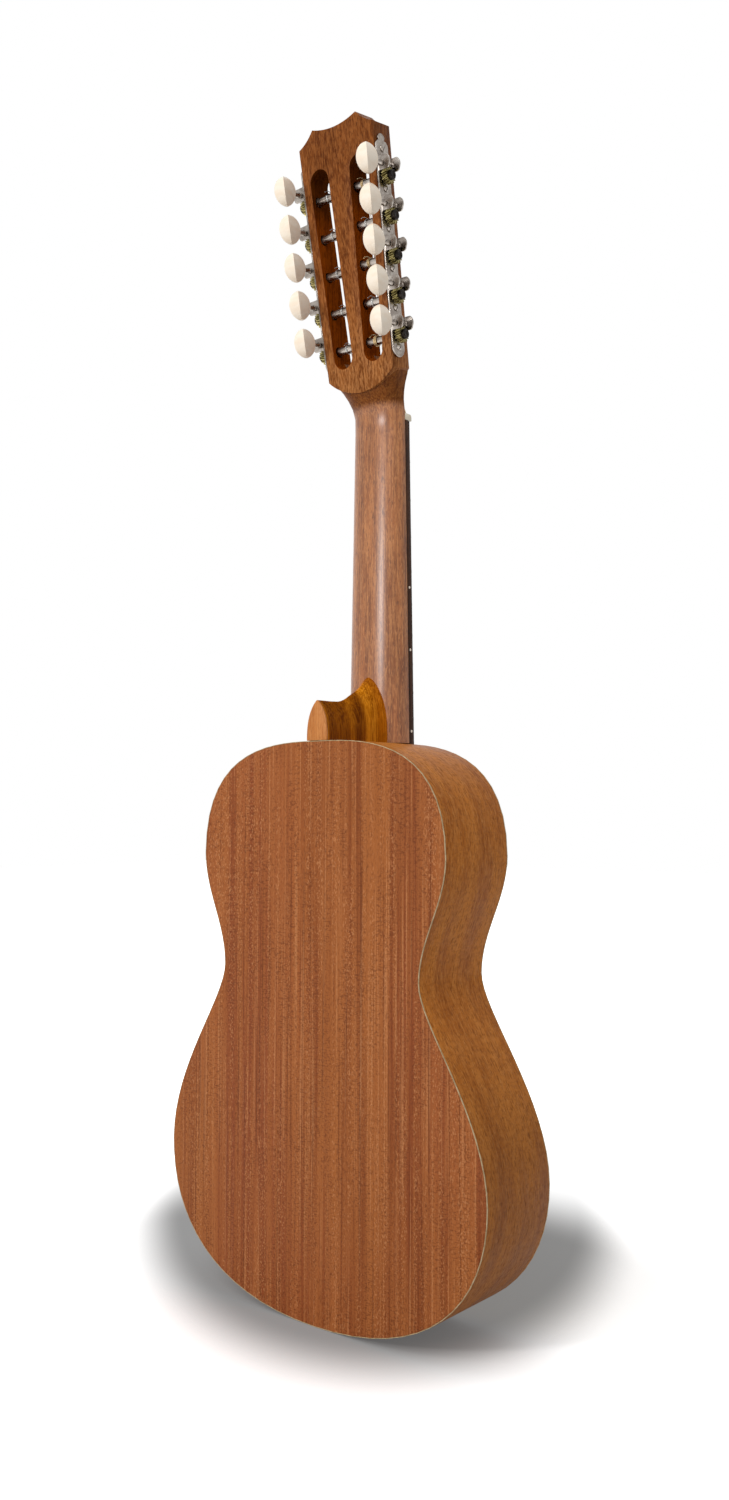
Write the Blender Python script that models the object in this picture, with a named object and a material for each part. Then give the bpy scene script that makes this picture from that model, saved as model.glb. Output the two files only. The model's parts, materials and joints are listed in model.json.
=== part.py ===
"""Viola amarantina: a ten-string Portuguese guitar with two heart soundholes.

Frame: +Z runs up the neck from the tail of the body, the soundboard faces -Y, the back
faces +Y and the bass side is -X. Z = 0 is the lowest point of the body, and X = 0 is the
joint line. Every size is in metres.
"""
import math

import bmesh
import bpy
from mathutils import Matrix, Vector

MM = 0.001
FIT = 0.3 * MM                      # gap where two pieces meet

# Body outline, half widths and heights above the tail
BODY_LENGTH = 405.9 * MM
LOWER_HALF = 144.3 * MM
LOWER_Z = 0.2639 * BODY_LENGTH
WAIST_HALF = 90.2 * MM
WAIST_Z = 0.5982 * BODY_LENGTH
UPPER_HALF = 112.1 * MM
UPPER_Z = 0.8009 * BODY_LENGTH
# How far each curve keeps its direction as it leaves these places
TAIL_REACH = 0.691 * LOWER_HALF
LOWER_REACH = (0.1486 * BODY_LENGTH, 0.1375 * BODY_LENGTH)
WAIST_REACH = (0.0641 * BODY_LENGTH, 0.0712 * BODY_LENGTH)
UPPER_REACH = (0.0724 * BODY_LENGTH, 0.2069 * BODY_LENGTH)
NECK_END_REACH = 0.3033 * UPPER_HALF
OUTLINE_STEPS = 7                   # points on each of the four curves of a half outline

# Body depth and walls
DEPTH_TAIL = 75.4 * MM
DEPTH_NECK = 73.1 * MM
PLATE = 2.6 * MM                    # soundboard and back
WALL = 2.2 * MM
BINDING = 1.2 * MM                  # width and height of the edge binding
LINING_WIDTH = 6.5 * MM
LINING_LIP = 5.0 * MM
LINING_HEIGHT = 14.0 * MM
TAIL_BLOCK = (60.0 * MM, 15.0 * MM)     # width, thickness
HEEL_BLOCK = (64.0 * MM, 32.0 * MM)
BRACE_WIDTH = 7.0 * MM
BRACE_HEIGHT = 12.0 * MM
BRACE_END = 0.3                     # of its height, at the ribs
BRACE_UNDER_BOARD = 5.0 * MM        # from the end of the fretboard down to the upper brace
BRACE_UNDER_HEARTS = 60.0 * MM
BRACE_UNDER_WAIST = 6.8 * MM

# Heart soundholes
HEART_WIDTH = 36.0 * MM
HEART_HEIGHT = 36.0 * MM
HEART_X = 42.0 * MM
HEART_UNDER_WAIST = 10.8 * MM

# Scale, neck and fretboard
SCALE = 555.0 * MM
BODY_FRET = 10                      # the fret over the end of the body
FRETS = 17
NUT_WIDTH = 45.5 * MM
JOIN_WIDTH = 53.2 * MM
BOARD = 5.6 * MM                    # fretboard thickness
FRET_HEIGHT = 1.0 * MM
FRET_WIDTH = 2.4 * MM
NECK_DEPTH_NUT = 12.0 * MM          # behind the fretboard
NECK_DEPTH_HEEL = 16.8 * MM
NUT_LENGTH = 5.0 * MM
TENON = (20.0 * MM, 44.0 * MM, 14.0 * MM)   # width, height, length
TENON_FRONT = 9.0 * MM
TENON_ROOT = 5.0 * MM               # how far it runs into the heel
HEEL_SIDES = 2.7                    # how square the pointed arch of the heel is
CAP_HALF = 9.45 * MM
CAP_HEIGHT = 28.6 * MM
# The heel below the neck: depth behind the soundboard, half width, height above the joint
HEEL_STEPS = (
    (11.0 * MM, 16.6 * MM, 49.6 * MM),
    (16.0 * MM, 15.0 * MM, 48.0 * MM),
    (21.0 * MM, 13.2 * MM, 44.5 * MM),
    (27.0 * MM, 12.0 * MM, 40.0 * MM),
    (35.0 * MM, 10.8 * MM, 35.4 * MM),
    (47.0 * MM, 9.9 * MM, 29.6 * MM),
    (58.0 * MM, CAP_HALF, CAP_HEIGHT),
)
# The neck as it widens into the headstock: distance from the nut, half width, depth, squareness
HAND_STEPS = (
    (11.0 * MM, 23.0 * MM, 14.4 * MM, 2.3),
    (17.0 * MM, 24.1 * MM, 17.0 * MM, 2.6),
    (23.0 * MM, 26.0 * MM, 19.0 * MM, 3.2),
    (29.0 * MM, 28.8 * MM, 19.8 * MM, 4.5),
    (34.0 * MM, 30.4 * MM, 19.9 * MM, 8.0),
)
HAND_START = 6.0 * MM               # below the nut
CREASE_SPARE = 0.7 * MM             # extra depth of the neck at the bend

# Headstock, measured from the nut along its back face
HEAD_TILT = math.radians(9.85)
HEAD = 20.2 * MM                    # thickness
HEAD_BACK = 19.34 * MM              # back face behind the soundboard plane, at the nut
FOOT_HALF = 30.8 * MM
FOOT_V = 32.3 * MM
FOOT_SAG = 12.6 * MM
SHOULDER_HALF = 35.2 * MM
SHOULDER_V = 205.2 * MM
HORN_HALF = 20.75 * MM
HORN_V = 215.8 * MM
SCOOP = 3.8 * MM
CORNER_SAG = 1.2 * MM               # bow of the cut corners
SLOT_HALF = 8.8 * MM
SLOT_LOW = (14.5 * MM, 48.3 * MM)   # centre of the round end nearest the nut
SLOT_HIGH = (19.0 * MM, 178.0 * MM)
RAMP_START = 17.0 * MM
RAMP_SLOPE = 0.31

# Tuning machines
ROLLERS = 5
ROLLER_PITCH = 28.0 * MM
FIRST_ROLLER = 166.4 * MM           # from the nut
AXIS_DEPTH = 7.3 * MM               # roller axes under the back face
ROLLER_RADIUS = 3.0 * MM
ROLLER_REACH = 28.0 * MM            # from the side of the head to the tip in the rib
PLANK = 1.4 * MM                    # machine plate
PLANK_WIDTH = 14.0 * MM
PLANK_ABOVE = 30.5 * MM             # from the first roller to the crown end
PLANK_BELOW = 15.5 * MM
LOBE = 4.2 * MM
LOBE_DROP = 9.0 * MM                # the side lobes below the crown end
EAR = 1.2 * MM
EAR_INSET = 0.3 * MM                # from the long edges of the plate
EAR_REACH = 11.2 * MM
EAR_LOW = 4.4 * MM                  # below and above the worm axis
EAR_HIGH = 5.6 * MM
EAR_CORNER = 4.6 * MM
EAR_CUT = 2.4 * MM
SCREW_ABOVE = 19.8 * MM
SCREW_RADIUS = 2.6 * MM
SCREW_RIM = 0.7 * MM
SCREW_CROWN = 1.7 * MM
WORM_RISE = 7.6 * MM                # worm axis above the roller axis
WORM_OUT = 5.1 * MM                 # worm axis out of the side of the head
TEETH = 14
GEAR_PITCH_RADIUS = 5.3 * MM
GEAR_TIP = 5.9 * MM
GEAR_ROOT = 4.5 * MM
GEAR_WIDTH = 4.2 * MM
HUB_RADIUS = 3.7 * MM
HUB_END = 9.7 * MM
WORM_TIP = 2.7 * MM
WORM_CORE = 1.3 * MM
WORM_TURNS = 3
WORM_STEPS = 6                      # points in one turn of the thread
THREAD_ROOT = 1.2 * MM
JOURNAL = 1.25 * MM
JOURNAL_PLAY = 0.4 * MM
COLLAR = 2.1 * MM
COLLAR_WIDTH = 1.0 * MM
BUTTON_HALF = (5.1 * MM, 6.3 * MM, 11.0 * MM)   # across, along the shaft, along the head
BUTTON_OUT = 16.3 * MM              # button centre behind the back face
STEM = 1.6 * MM
STEM_ROOT = 2.0 * MM                # where the stem thins, short of the button
STEM_INSIDE = 5.0 * MM              # how far it runs into the button

# Strings, nut and bridge
COURSE_GAP_NUT = 8.6 * MM
PAIR_GAP_NUT = 2.4 * MM
COURSE_GAP_BRIDGE = 12.4 * MM
PAIR_GAP_BRIDGE = 3.0 * MM
STRING_DIAMETERS = [d * MM for d in (0.90, 0.50, 0.75, 0.45, 0.60, 0.45, 0.50, 0.50, 0.45, 0.45)]
ACTION_NUT = 1.0 * MM               # string centre over the frets at the nut
ACTION_SADDLE = 5.6 * MM
NUT_ABOVE = 0.5 * MM                # nut over the string centres
WRAPS = 1.5
WRAP_STEPS = 6
BRIDGE_SADDLE_ROOM = 4.5 * MM       # wood each side of the saddle slot
BRIDGE_LENGTH = 92.0 * MM
BRIDGE_HEIGHT = 7.8 * MM
BRIDGE_BASE = 3.2 * MM
BRIDGE_LEDGE = 1.5 * MM
BRIDGE_SLANT = (2.0 * MM, 3.0 * MM)     # of the slopes behind and before the saddle
TIE_BLOCK = 4.2 * MM
TIE_CHANNEL = 6.0 * MM
TIE_HOLE = 1.8 * MM                 # above the floor of the channel
WING = 30.0 * MM
WING_LAP = 4.0 * MM
WING_DIP = 7.0 * MM
WING_CURL = 13.0 * MM
WING_TIP = 0.5 * MM
SADDLE = 3.0 * MM
SADDLE_SINK = 4.0 * MM
SADDLE_SHORT = 3.0 * MM             # shorter than the bridge at each end

# Worked out from the sizes above
BODY_JOIN = BODY_LENGTH + FIT
NUT_Z = BODY_LENGTH + SCALE * (1 - 2 ** (-BODY_FRET / 12))
SADDLE_Z = NUT_Z - SCALE
BOARD_END = NUT_Z - SCALE * (1 - 2 ** (-(FRETS + 0.45) / 12))
HEART_Z = WAIST_Z - HEART_UNDER_WAIST
TOP_BRACES = {"top_brace_upper": BOARD_END - BRACE_UNDER_BOARD, "top_brace_lower": HEART_Z - BRACE_UNDER_HEARTS}
BACK_BRACE_Z = WAIST_Z - BRACE_UNDER_WAIST
STRING_TOP_NUT = FIT + BOARD + FRET_HEIGHT + ACTION_NUT
STRING_TOP_SADDLE = FIT + BOARD + FRET_HEIGHT + ACTION_SADDLE
FRONT = -(DEPTH_TAIL - STRING_TOP_SADDLE) / 2      # soundboard plane, so that the origin is central
SLOPE = (DEPTH_NECK - DEPTH_TAIL) / BODY_LENGTH
LEAD = 2 * math.pi * GEAR_PITCH_RADIUS / TEETH
SIDE_TAPER = math.atan2(SHOULDER_HALF - FOOT_HALF, SHOULDER_V - FOOT_V)
EDGE = BINDING + FIT
HEAD_FRAME = Matrix.Translation((0, FRONT + HEAD_BACK, NUT_Z)) @ Matrix.Rotation(-HEAD_TILT, 4, "X")


def back_y(z):
    """The outer face of the back, which falls a little toward the neck."""
    return FRONT + DEPTH_TAIL + SLOPE * z


def head_half(v):
    """Half the width of the headstock at a distance from the nut."""
    return FOOT_HALF + (v - FOOT_V) * math.tan(SIDE_TAPER)


# Making meshes

def material(name, colour, roughness, metallic=0.0):
    made = bpy.data.materials.new(name)
    made.use_nodes = True
    shader = made.node_tree.nodes["Principled BSDF"]
    shader.inputs["Base Color"].default_value = (*colour, 1.0)
    shader.inputs["Roughness"].default_value = roughness
    shader.inputs["Metallic"].default_value = metallic
    made.diffuse_color = (*colour, 1.0)
    return made


def loft_mesh(name, rings, wrap=False, smooth=0.0):
    """A closed skin over rings of equal count; wrap joins the last ring to the first."""
    skin = bmesh.new()
    loops = [[skin.verts.new(point) for point in ring] for ring in rings]
    count = len(loops[0])
    pairs = list(zip(loops, loops[1:]))
    if wrap:
        pairs.append((loops[-1], loops[0]))
    else:
        skin.faces.new(loops[0])
        skin.faces.new(loops[-1])
    for near, far in pairs:
        for i in range(count):
            j = (i + 1) % count
            skin.faces.new((near[i], near[j], far[j], far[i]))
    bmesh.ops.recalc_face_normals(skin, faces=skin.faces)
    mesh = bpy.data.meshes.new(name)
    skin.to_mesh(mesh)
    skin.free()
    if smooth:
        mesh.shade_smooth()
        mesh.set_sharp_from_angle(angle=math.radians(smooth))
    return mesh


def place(name, mesh, finish=None, parent=None, location=(0, 0, 0)):
    made = bpy.data.objects.new(name, mesh)
    bpy.context.scene.collection.objects.link(made)
    made.parent = parent
    made.location = location
    if finish:
        mesh.materials.clear()
        mesh.materials.append(finish)
    return made


def guide(name, mesh, parent=None, location=(0, 0, 0)):
    """A shape that only cuts or adds to another one."""
    made = place(name, mesh, None, parent, location)
    made.hide_render = True
    made.display_type = "WIRE"
    return made


def combine(target, other, operation):
    step = target.modifiers.new(other.name, "BOOLEAN")
    step.operation = operation
    step.solver = "EXACT"
    step.object = other


def settled(target):
    """The mesh of an object with its booleans done, for copies to share."""
    bpy.context.view_layer.update()
    graph = bpy.context.evaluated_depsgraph_get()
    return bpy.data.meshes.new_from_object(target.evaluated_get(graph))


def empty(name, matrix, parent=None):
    made = bpy.data.objects.new(name, None)
    bpy.context.scene.collection.objects.link(made)
    made.parent = parent
    made.matrix_local = matrix
    return made


def plan(points, front, back):
    """Two rings of an outline drawn on X and Z, on a front and a back surface."""
    return [[(x, face(z), z) for x, z in points] for face in (front, back)]


def box_rings(x, y, z):
    corners = ((x[0], z[0]), (x[1], z[0]), (x[1], z[1]), (x[0], z[1]))
    return [[(cx, level, cz) for cx, cz in corners] for level in y]


def turned(profile, sides, axis="Y", phase=0.0):
    """Rings of a turned piece from (distance along the axis, radius) pairs."""
    rings = []
    for along, radius in profile:
        ring = []
        for i in range(sides):
            turn = phase + 2 * math.pi * i / sides
            a = radius * math.cos(turn)
            b = radius * math.sin(turn)
            ring.append((a, along, b) if axis == "Y" else (along, a, b))
        rings.append(ring)
    return rings


def mirrored(rings, hand):
    return [[(hand * x, y, z) for x, y, z in ring] for ring in rings]


def bezier(a, b, c, d, steps):
    points = []
    for i in range(steps):
        t = i / steps
        weights = ((1 - t) ** 3, 3 * t * (1 - t) ** 2, 3 * t * t * (1 - t), t ** 3)
        points.append(tuple(sum(w * p[k] for w, p in zip(weights, (a, b, c, d))) for k in (0, 1)))
    return points


def arc(start, end, sag, steps):
    """A shallow arc between two points, bowed to the left by sag, without its last point."""
    (x0, z0), (x1, z1) = start, end
    chord = math.hypot(x1 - x0, z1 - z0)
    points = []
    for i in range(steps):
        t = i / steps
        bow = 4 * sag * t * (1 - t)
        points.append((x0 + (x1 - x0) * t - bow * (z1 - z0) / chord,
                       z0 + (z1 - z0) * t + bow * (x1 - x0) / chord))
    return points


# Body outline

def half_outline():
    """From the tail to the neck along the treble side, as (x, z)."""
    tail = (0.0, 0.0)
    lower = (LOWER_HALF, LOWER_Z)
    waist = (WAIST_HALF, WAIST_Z)
    upper = (UPPER_HALF, UPPER_Z)
    neck = (0.0, BODY_LENGTH)
    points = bezier(tail, (TAIL_REACH, 0.0), (LOWER_HALF, LOWER_Z - LOWER_REACH[0]), lower, OUTLINE_STEPS)
    points += bezier(lower, (LOWER_HALF, LOWER_Z + LOWER_REACH[1]),
                     (WAIST_HALF, WAIST_Z - WAIST_REACH[0]), waist, OUTLINE_STEPS)
    points += bezier(waist, (WAIST_HALF, WAIST_Z + WAIST_REACH[1]),
                     (UPPER_HALF, UPPER_Z - UPPER_REACH[0]), upper, OUTLINE_STEPS)
    points += bezier(upper, (UPPER_HALF, UPPER_Z + UPPER_REACH[1]), (NECK_END_REACH, BODY_LENGTH),
                     neck, OUTLINE_STEPS)
    return points + [neck]


def directions(points):
    """The inward direction at each point of the half outline."""
    inward = [(0.0, 1.0)]
    for (x0, z0), (x1, z1) in zip(points, points[2:]):
        length = math.hypot(x1 - x0, z1 - z0)
        inward.append((-(z1 - z0) / length, (x1 - x0) / length))
    return inward + [(0.0, -1.0)]


def inset_half(inset):
    points = half_outline()
    return [(x + inset * dx, z + inset * dz) for (x, z), (dx, dz) in zip(points, directions(points))]


def outline(inset):
    half = inset_half(inset)
    return half + [(-x, z) for x, z in half[-2:0:-1]]


def half_width(z, inset):
    """How far the inset outline reaches at a height."""
    half = inset_half(inset)
    for (x0, z0), (x1, z1) in zip(half, half[1:]):
        if z0 <= z <= z1:
            return x0 + (x1 - x0) * (z - z0) / (z1 - z0)
    return 0.0


def end_curve(inset, reach, at_neck):
    """The inset outline across the joint line, as far as reach to each side."""
    half = inset_half(inset)
    if at_neck:
        half = half[::-1]
    kept = [point for point in half[:OUTLINE_STEPS] if point[0] < reach]
    (x0, z0), (x1, z1) = half[len(kept) - 1], half[len(kept)]
    kept.append((reach, z0 + (z1 - z0) * (reach - x0) / (x1 - x0)))
    return [(-x, z) for x, z in kept[:0:-1]] + kept


# Body pieces

def heart():
    """A heart outline about its middle, with its point toward the tail."""
    steps = 18
    points = []
    for i in range(steps):
        t = 2 * math.pi * i / steps
        x = math.sin(t) ** 3
        z = (13 * math.cos(t) - 5 * math.cos(2 * t) - 2 * math.cos(3 * t) - math.cos(4 * t)) / 14.5
        points.append((x * HEART_WIDTH / 2, z * HEART_HEIGHT / 2))
    return points


def make_plates(spruce, sapele):
    def stepped(outer, sign):
        """A plate whose rim is stepped for the binding; outer is its outer face."""
        levels = ((EDGE, 0.0), (EDGE, EDGE), (0.0, EDGE), (0.0, PLATE))
        return [[(x, outer(z) + sign * down, z) for x, z in outline(inset)] for inset, down in levels]

    board = place("soundboard", loft_mesh("soundboard", stepped(lambda z: FRONT, 1)), spruce)
    for side, name in ((-1, "heart_cut_bass"), (1, "heart_cut_treble")):
        hole = [(x + side * HEART_X, z + HEART_Z) for x, z in heart()]
        rings = plan(hole, lambda z: FRONT - PLATE, lambda z: FRONT + 2 * PLATE)
        combine(board, guide(name, loft_mesh(name, rings)), "DIFFERENCE")
    place("back", loft_mesh("back", stepped(back_y, -1)), sapele)


def make_bindings(maple):
    for name, outer, sign in (("front_binding", lambda z: FRONT, 1), ("back_binding", back_y, -1)):
        rims = [outline(inset) for inset in (0.0, BINDING)]
        rings = []
        for (x0, z0), (x1, z1) in zip(*rims):
            y0, y1 = outer(z0), outer(z1)
            rings.append([(x0, y0, z0), (x1, y1, z1), (x1, y1 + sign * BINDING, z1), (x0, y0 + sign * BINDING, z0)])
        place(name, loft_mesh(name, rings, wrap=True), maple)


def make_sides(sapele):
    """Bent ribs, each with its front and back linings, from the tail seam to the heel."""
    front = FRONT + PLATE + FIT
    lining = WALL + LINING_WIDTH
    clear = TENON[0] / 2 + FIT
    points = half_outline()
    inward = directions(points)
    while points[-2][0] < clear:
        points.pop()
        inward.pop()
    (x0, z0), (x1, z1) = points[-2:]
    points[-1] = (clear, z0 + (z1 - z0) * (clear - x0) / (x1 - x0))
    inward[-1] = (0.0, -1.0)
    section = ((0.0, 0, 0.0), (lining, 0, 0.0), (lining, 0, LINING_LIP), (WALL, 0, LINING_HEIGHT),
               (WALL, 1, LINING_HEIGHT), (lining, 1, LINING_LIP), (lining, 1, 0.0), (0.0, 1, 0.0))
    for hand, name in ((-1, "side_bass"), (1, "side_treble")):
        rings = []
        for (x, z), (dx, dz) in zip(points, inward):
            ring = []
            for inset, at_back, down in section:
                px = max(x + inset * dx, FIT / 2)
                pz = z + inset * dz
                py = back_y(pz) - PLATE - FIT - down if at_back else front + down
                ring.append((hand * px, py, pz))
            rings.append(ring)
        rib = place(name, loft_mesh(name, rings, smooth=40), sapele)
        for cutter in ("tail_room", "heel_room"):
            combine(rib, bpy.data.objects[cutter], "DIFFERENCE")


def make_blocks(cedar):
    """The blocks at the tail and the heel, and the room for them in the linings."""
    for name, (width, thick), at_neck in (("tail", TAIL_BLOCK, False), ("heel", HEEL_BLOCK, True)):
        inner = BODY_LENGTH - WALL - thick if at_neck else WALL + thick
        room = -FIT if at_neck else FIT
        for extra, maker, label in ((FIT, guide, "_room"), (0.0, place, "_block")):
            reach = width / 2 + extra
            curve = end_curve(WALL + 2 * FIT - extra * 1.7, reach, at_neck)
            flat = inner + (room if extra else 0.0)
            points = curve + [(reach, flat), (-reach, flat)]
            rings = plan(points, lambda z: FRONT + PLATE + FIT - 2 * extra, lambda z: back_y(z) - PLATE - FIT + 2 * extra)
            made = maker(name + label, loft_mesh(name + label, rings))
            if not extra:
                made.data.materials.append(cedar)
    half = TENON[0] / 2 + FIT
    mortise = box_rings((-half, half), (FRONT + TENON_FRONT - FIT, FRONT + TENON_FRONT + TENON[1] + FIT),
                        (BODY_JOIN - TENON[2] - FIT, BODY_JOIN + FIT))
    cutter = guide("mortise", loft_mesh("mortise", mortise))
    combine(bpy.data.objects["heel_block"], cutter, "DIFFERENCE")


def brace(name, z, face, sign, finish):
    """A bar across the plate, low at its ends."""
    reach = min(half_width(z + s * BRACE_WIDTH, WALL + LINING_WIDTH + 2 * FIT) for s in (-1, 1))
    rings = []
    for x, tall in ((-reach, BRACE_END), (-0.62 * reach, 1.0), (0.62 * reach, 1.0), (reach, BRACE_END)):
        height = BRACE_HEIGHT * tall
        section = ((-0.5, 0.0), (-0.5, 0.45), (0.0, 1.0), (0.5, 0.45), (0.5, 0.0))
        ring = []
        for across, up in section:
            at = z + across * BRACE_WIDTH
            ring.append((x, face(at) + sign * (PLATE + FIT + up * height), at))
        rings.append(ring)
    place(name, loft_mesh(name, rings), finish)


def make_braces(spruce):
    for name, z in TOP_BRACES.items():
        brace(name, z, lambda at: FRONT, 1, spruce)
    brace("back_brace", BACK_BRACE_Z, back_y, -1, spruce)


# Neck and headstock

def neck_half(z):
    """Half the width of the fretboard and neck at a height."""
    return (JOIN_WIDTH + (NUT_WIDTH - JOIN_WIDTH) * (z - BODY_LENGTH) / (NUT_Z - BODY_LENGTH)) / 2


def neck_section(front_y, z, tilt, half, depth, power):
    """A ring that is flat in front and a rounded D behind."""
    steps = 10
    back = Vector((0, math.cos(tilt), -math.sin(tilt)))
    ring = []
    for i in range(steps + 1):
        turn = math.pi * i / steps
        side = math.copysign(abs(math.cos(turn)) ** (2 / power), math.cos(turn))
        deep = abs(math.sin(turn)) ** (2 / power)
        ring.append(Vector((half * side, front_y, z)) + back * (depth * deep))
    return ring


def head_section(v, half, depth, power):
    front = HEAD_FRAME @ Vector((0, -HEAD + FIT / 2, v))
    return neck_section(front.y, front.z, HEAD_TILT, half, depth, power)


def heel_ring(y, half, top):
    """A pointed arch that stands on the end of the body, on the given surface."""
    steps = 5
    right = []
    for i in range(steps + 1):
        rise = i / steps
        right.append((half * (1 - rise ** HEEL_SIDES), BODY_JOIN + (top - BODY_JOIN) * rise))
    points = right + [(-x, z) for x, z in right[-2::-1]]
    return [(x, y(z), z) for x, z in points]


def head_outline():
    """The back face of the headstock, from the bass corner of the foot round to it again."""
    foot = arc((-FOOT_HALF, FOOT_V), (FOOT_HALF, FOOT_V), -FOOT_SAG, 10)
    rise = arc((SHOULDER_HALF, SHOULDER_V), (HORN_HALF, HORN_V), CORNER_SAG, 4)
    crown = arc((HORN_HALF, HORN_V), (-HORN_HALF, HORN_V), SCOOP, 8)
    fall = arc((-HORN_HALF, HORN_V), (-SHOULDER_HALF, SHOULDER_V), CORNER_SAG, 4)
    return foot + [(FOOT_HALF, FOOT_V)] + rise + crown + fall + [(-SHOULDER_HALF, SHOULDER_V)]


def slot_outline(hand):
    """A long hole with round ends, between the rib and the side strip."""
    steps = 7
    (x0, v0), (x1, v1) = SLOT_LOW, SLOT_HIGH
    lean = math.atan2(x1 - x0, v1 - v0)
    points = []
    for (x, v), start in ((SLOT_HIGH, 0.0), (SLOT_LOW, math.pi)):
        for i in range(steps + 1):
            turn = start - lean + math.pi * i / steps
            points.append((hand * (x + SLOT_HALF * math.cos(turn)), v + SLOT_HALF * math.sin(turn)))
    return points


def ramp_rings(hand):
    """The slope that lets the strings into a slot from the nut."""
    floor = SLOT_LOW[1]
    deep = -HEAD + (floor - RAMP_START) * RAMP_SLOPE
    side = ((RAMP_START, -HEAD), (floor, deep), (floor, -HEAD - 2 * PLATE), (RAMP_START, -HEAD - 2 * PLATE))
    low, high = SLOT_LOW[0] - SLOT_HALF + FIT, SLOT_LOW[0] + SLOT_HALF - FIT
    return [[(hand * x, y, v) for v, y in side] for x in (low, high)]


def make_neck(wood, head):
    end = NUT_Z - HAND_START
    crease = NUT_Z + (HEAD / math.cos(HEAD_TILT) - HEAD_BACK) / math.tan(HEAD_TILT)
    rings = [
        neck_section(FRONT, BODY_JOIN, 0.0, neck_half(BODY_JOIN), NECK_DEPTH_HEEL, 2.2),
        neck_section(FRONT, end, 0.0, neck_half(end), NECK_DEPTH_NUT, 2.2),
        neck_section(FRONT, crease, HEAD_TILT / 2, neck_half(NUT_Z), NECK_DEPTH_NUT + CREASE_SPARE, 2.2),
    ]
    rings += [head_section(*step) for step in HAND_STEPS]
    neck = place("neck", loft_mesh("neck", rings, smooth=35), wood)
    heel = []
    for deep, half, tall in HEEL_STEPS:
        heel.append(heel_ring(lambda z: FRONT + deep, half, BODY_JOIN + tall))
    heel.append(heel_ring(back_y, CAP_HALF, BODY_JOIN + CAP_HEIGHT))
    combine(neck, guide("heel", loft_mesh("heel", heel, smooth=35)), "UNION")
    half = TENON[0] / 2
    tenon = box_rings((-half, half), (FRONT + TENON_FRONT, FRONT + TENON_FRONT + TENON[1]),
                      (BODY_JOIN - TENON[2], BODY_JOIN + TENON_ROOT))
    combine(neck, guide("tenon", loft_mesh("tenon", tenon)), "UNION")
    slab = plan(head_outline(), lambda v: -HEAD, lambda v: 0.0)
    combine(neck, guide("headstock", loft_mesh("headstock", slab, smooth=35), head), "UNION")
    for hand, name in ((-1, "bass"), (1, "treble")):
        hole = plan(slot_outline(hand), lambda v: -HEAD - PLATE, lambda v: PLATE)
        combine(neck, guide("slot_" + name, loft_mesh("slot_" + name, hole), head), "DIFFERENCE")
        ramp = loft_mesh("ramp_" + name, ramp_rings(hand))
        combine(neck, guide("ramp_" + name, ramp, head), "DIFFERENCE")
        bore = turned(((-ROLLER_REACH - FIT, ROLLER_RADIUS + FIT), (PLATE, ROLLER_RADIUS + FIT)), 10, "X")
        mesh = loft_mesh("roller_bore_" + name, mirrored(bore, hand))
        for i in range(ROLLERS):
            label = "roller_bore_%s_%d" % (name, i + 1)
            cutter = guide(label, mesh, bpy.data.objects["machine_frame_" + name], (0, 0, -i * ROLLER_PITCH))
            combine(neck, cutter, "DIFFERENCE")


def make_fretboard(rosewood):
    """A tapered board whose frets stand up from it."""
    face = FRONT - FIT - BOARD
    profile = [(FRONT - FIT, BOARD_END), (face, BOARD_END)]
    for fret in range(FRETS, 0, -1):
        z = NUT_Z - SCALE * (1 - 2 ** (-fret / 12))
        crown = face - FRET_HEIGHT
        profile += [(face, z - FRET_WIDTH / 2), (crown, z - FRET_WIDTH / 5),
                    (crown, z + FRET_WIDTH / 5), (face, z + FRET_WIDTH / 2)]
    top = NUT_Z - FIT
    profile += [(face, top), (FRONT - FIT, top)]
    rings = [[(side * neck_half(z), y, z) for y, z in profile] for side in (-1, 1)]
    place("fretboard", loft_mesh("fretboard", rings), rosewood)


# Strings, nut and bridge

def string_places(course_gap, pair_gap):
    """Across the instrument, from the bass side to the treble side."""
    places = []
    for course in range(-2, 3):
        places += [course * course_gap - pair_gap / 2, course * course_gap + pair_gap / 2]
    return places


def make_nut(bone):
    top = FRONT - STRING_TOP_NUT - NUT_ABOVE
    foot = FRONT - FIT
    half = NUT_WIDTH / 2
    outline_points = [(-half, foot), (-half, top)]
    for x, diameter in zip(string_places(COURSE_GAP_NUT, PAIR_GAP_NUT), STRING_DIAMETERS):
        gap = diameter / 2 + FIT
        floor = FRONT - STRING_TOP_NUT + gap
        outline_points += [(x - 1.4 * gap, top), (x - 0.5 * gap, floor), (x + 0.5 * gap, floor), (x + 1.4 * gap, top)]
    outline_points += [(half, top), (half, foot)]
    rings = [[(x, y, z) for x, y in outline_points] for z in (NUT_Z, NUT_Z + NUT_LENGTH)]
    place("nut", loft_mesh("nut", rings), bone)


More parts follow.
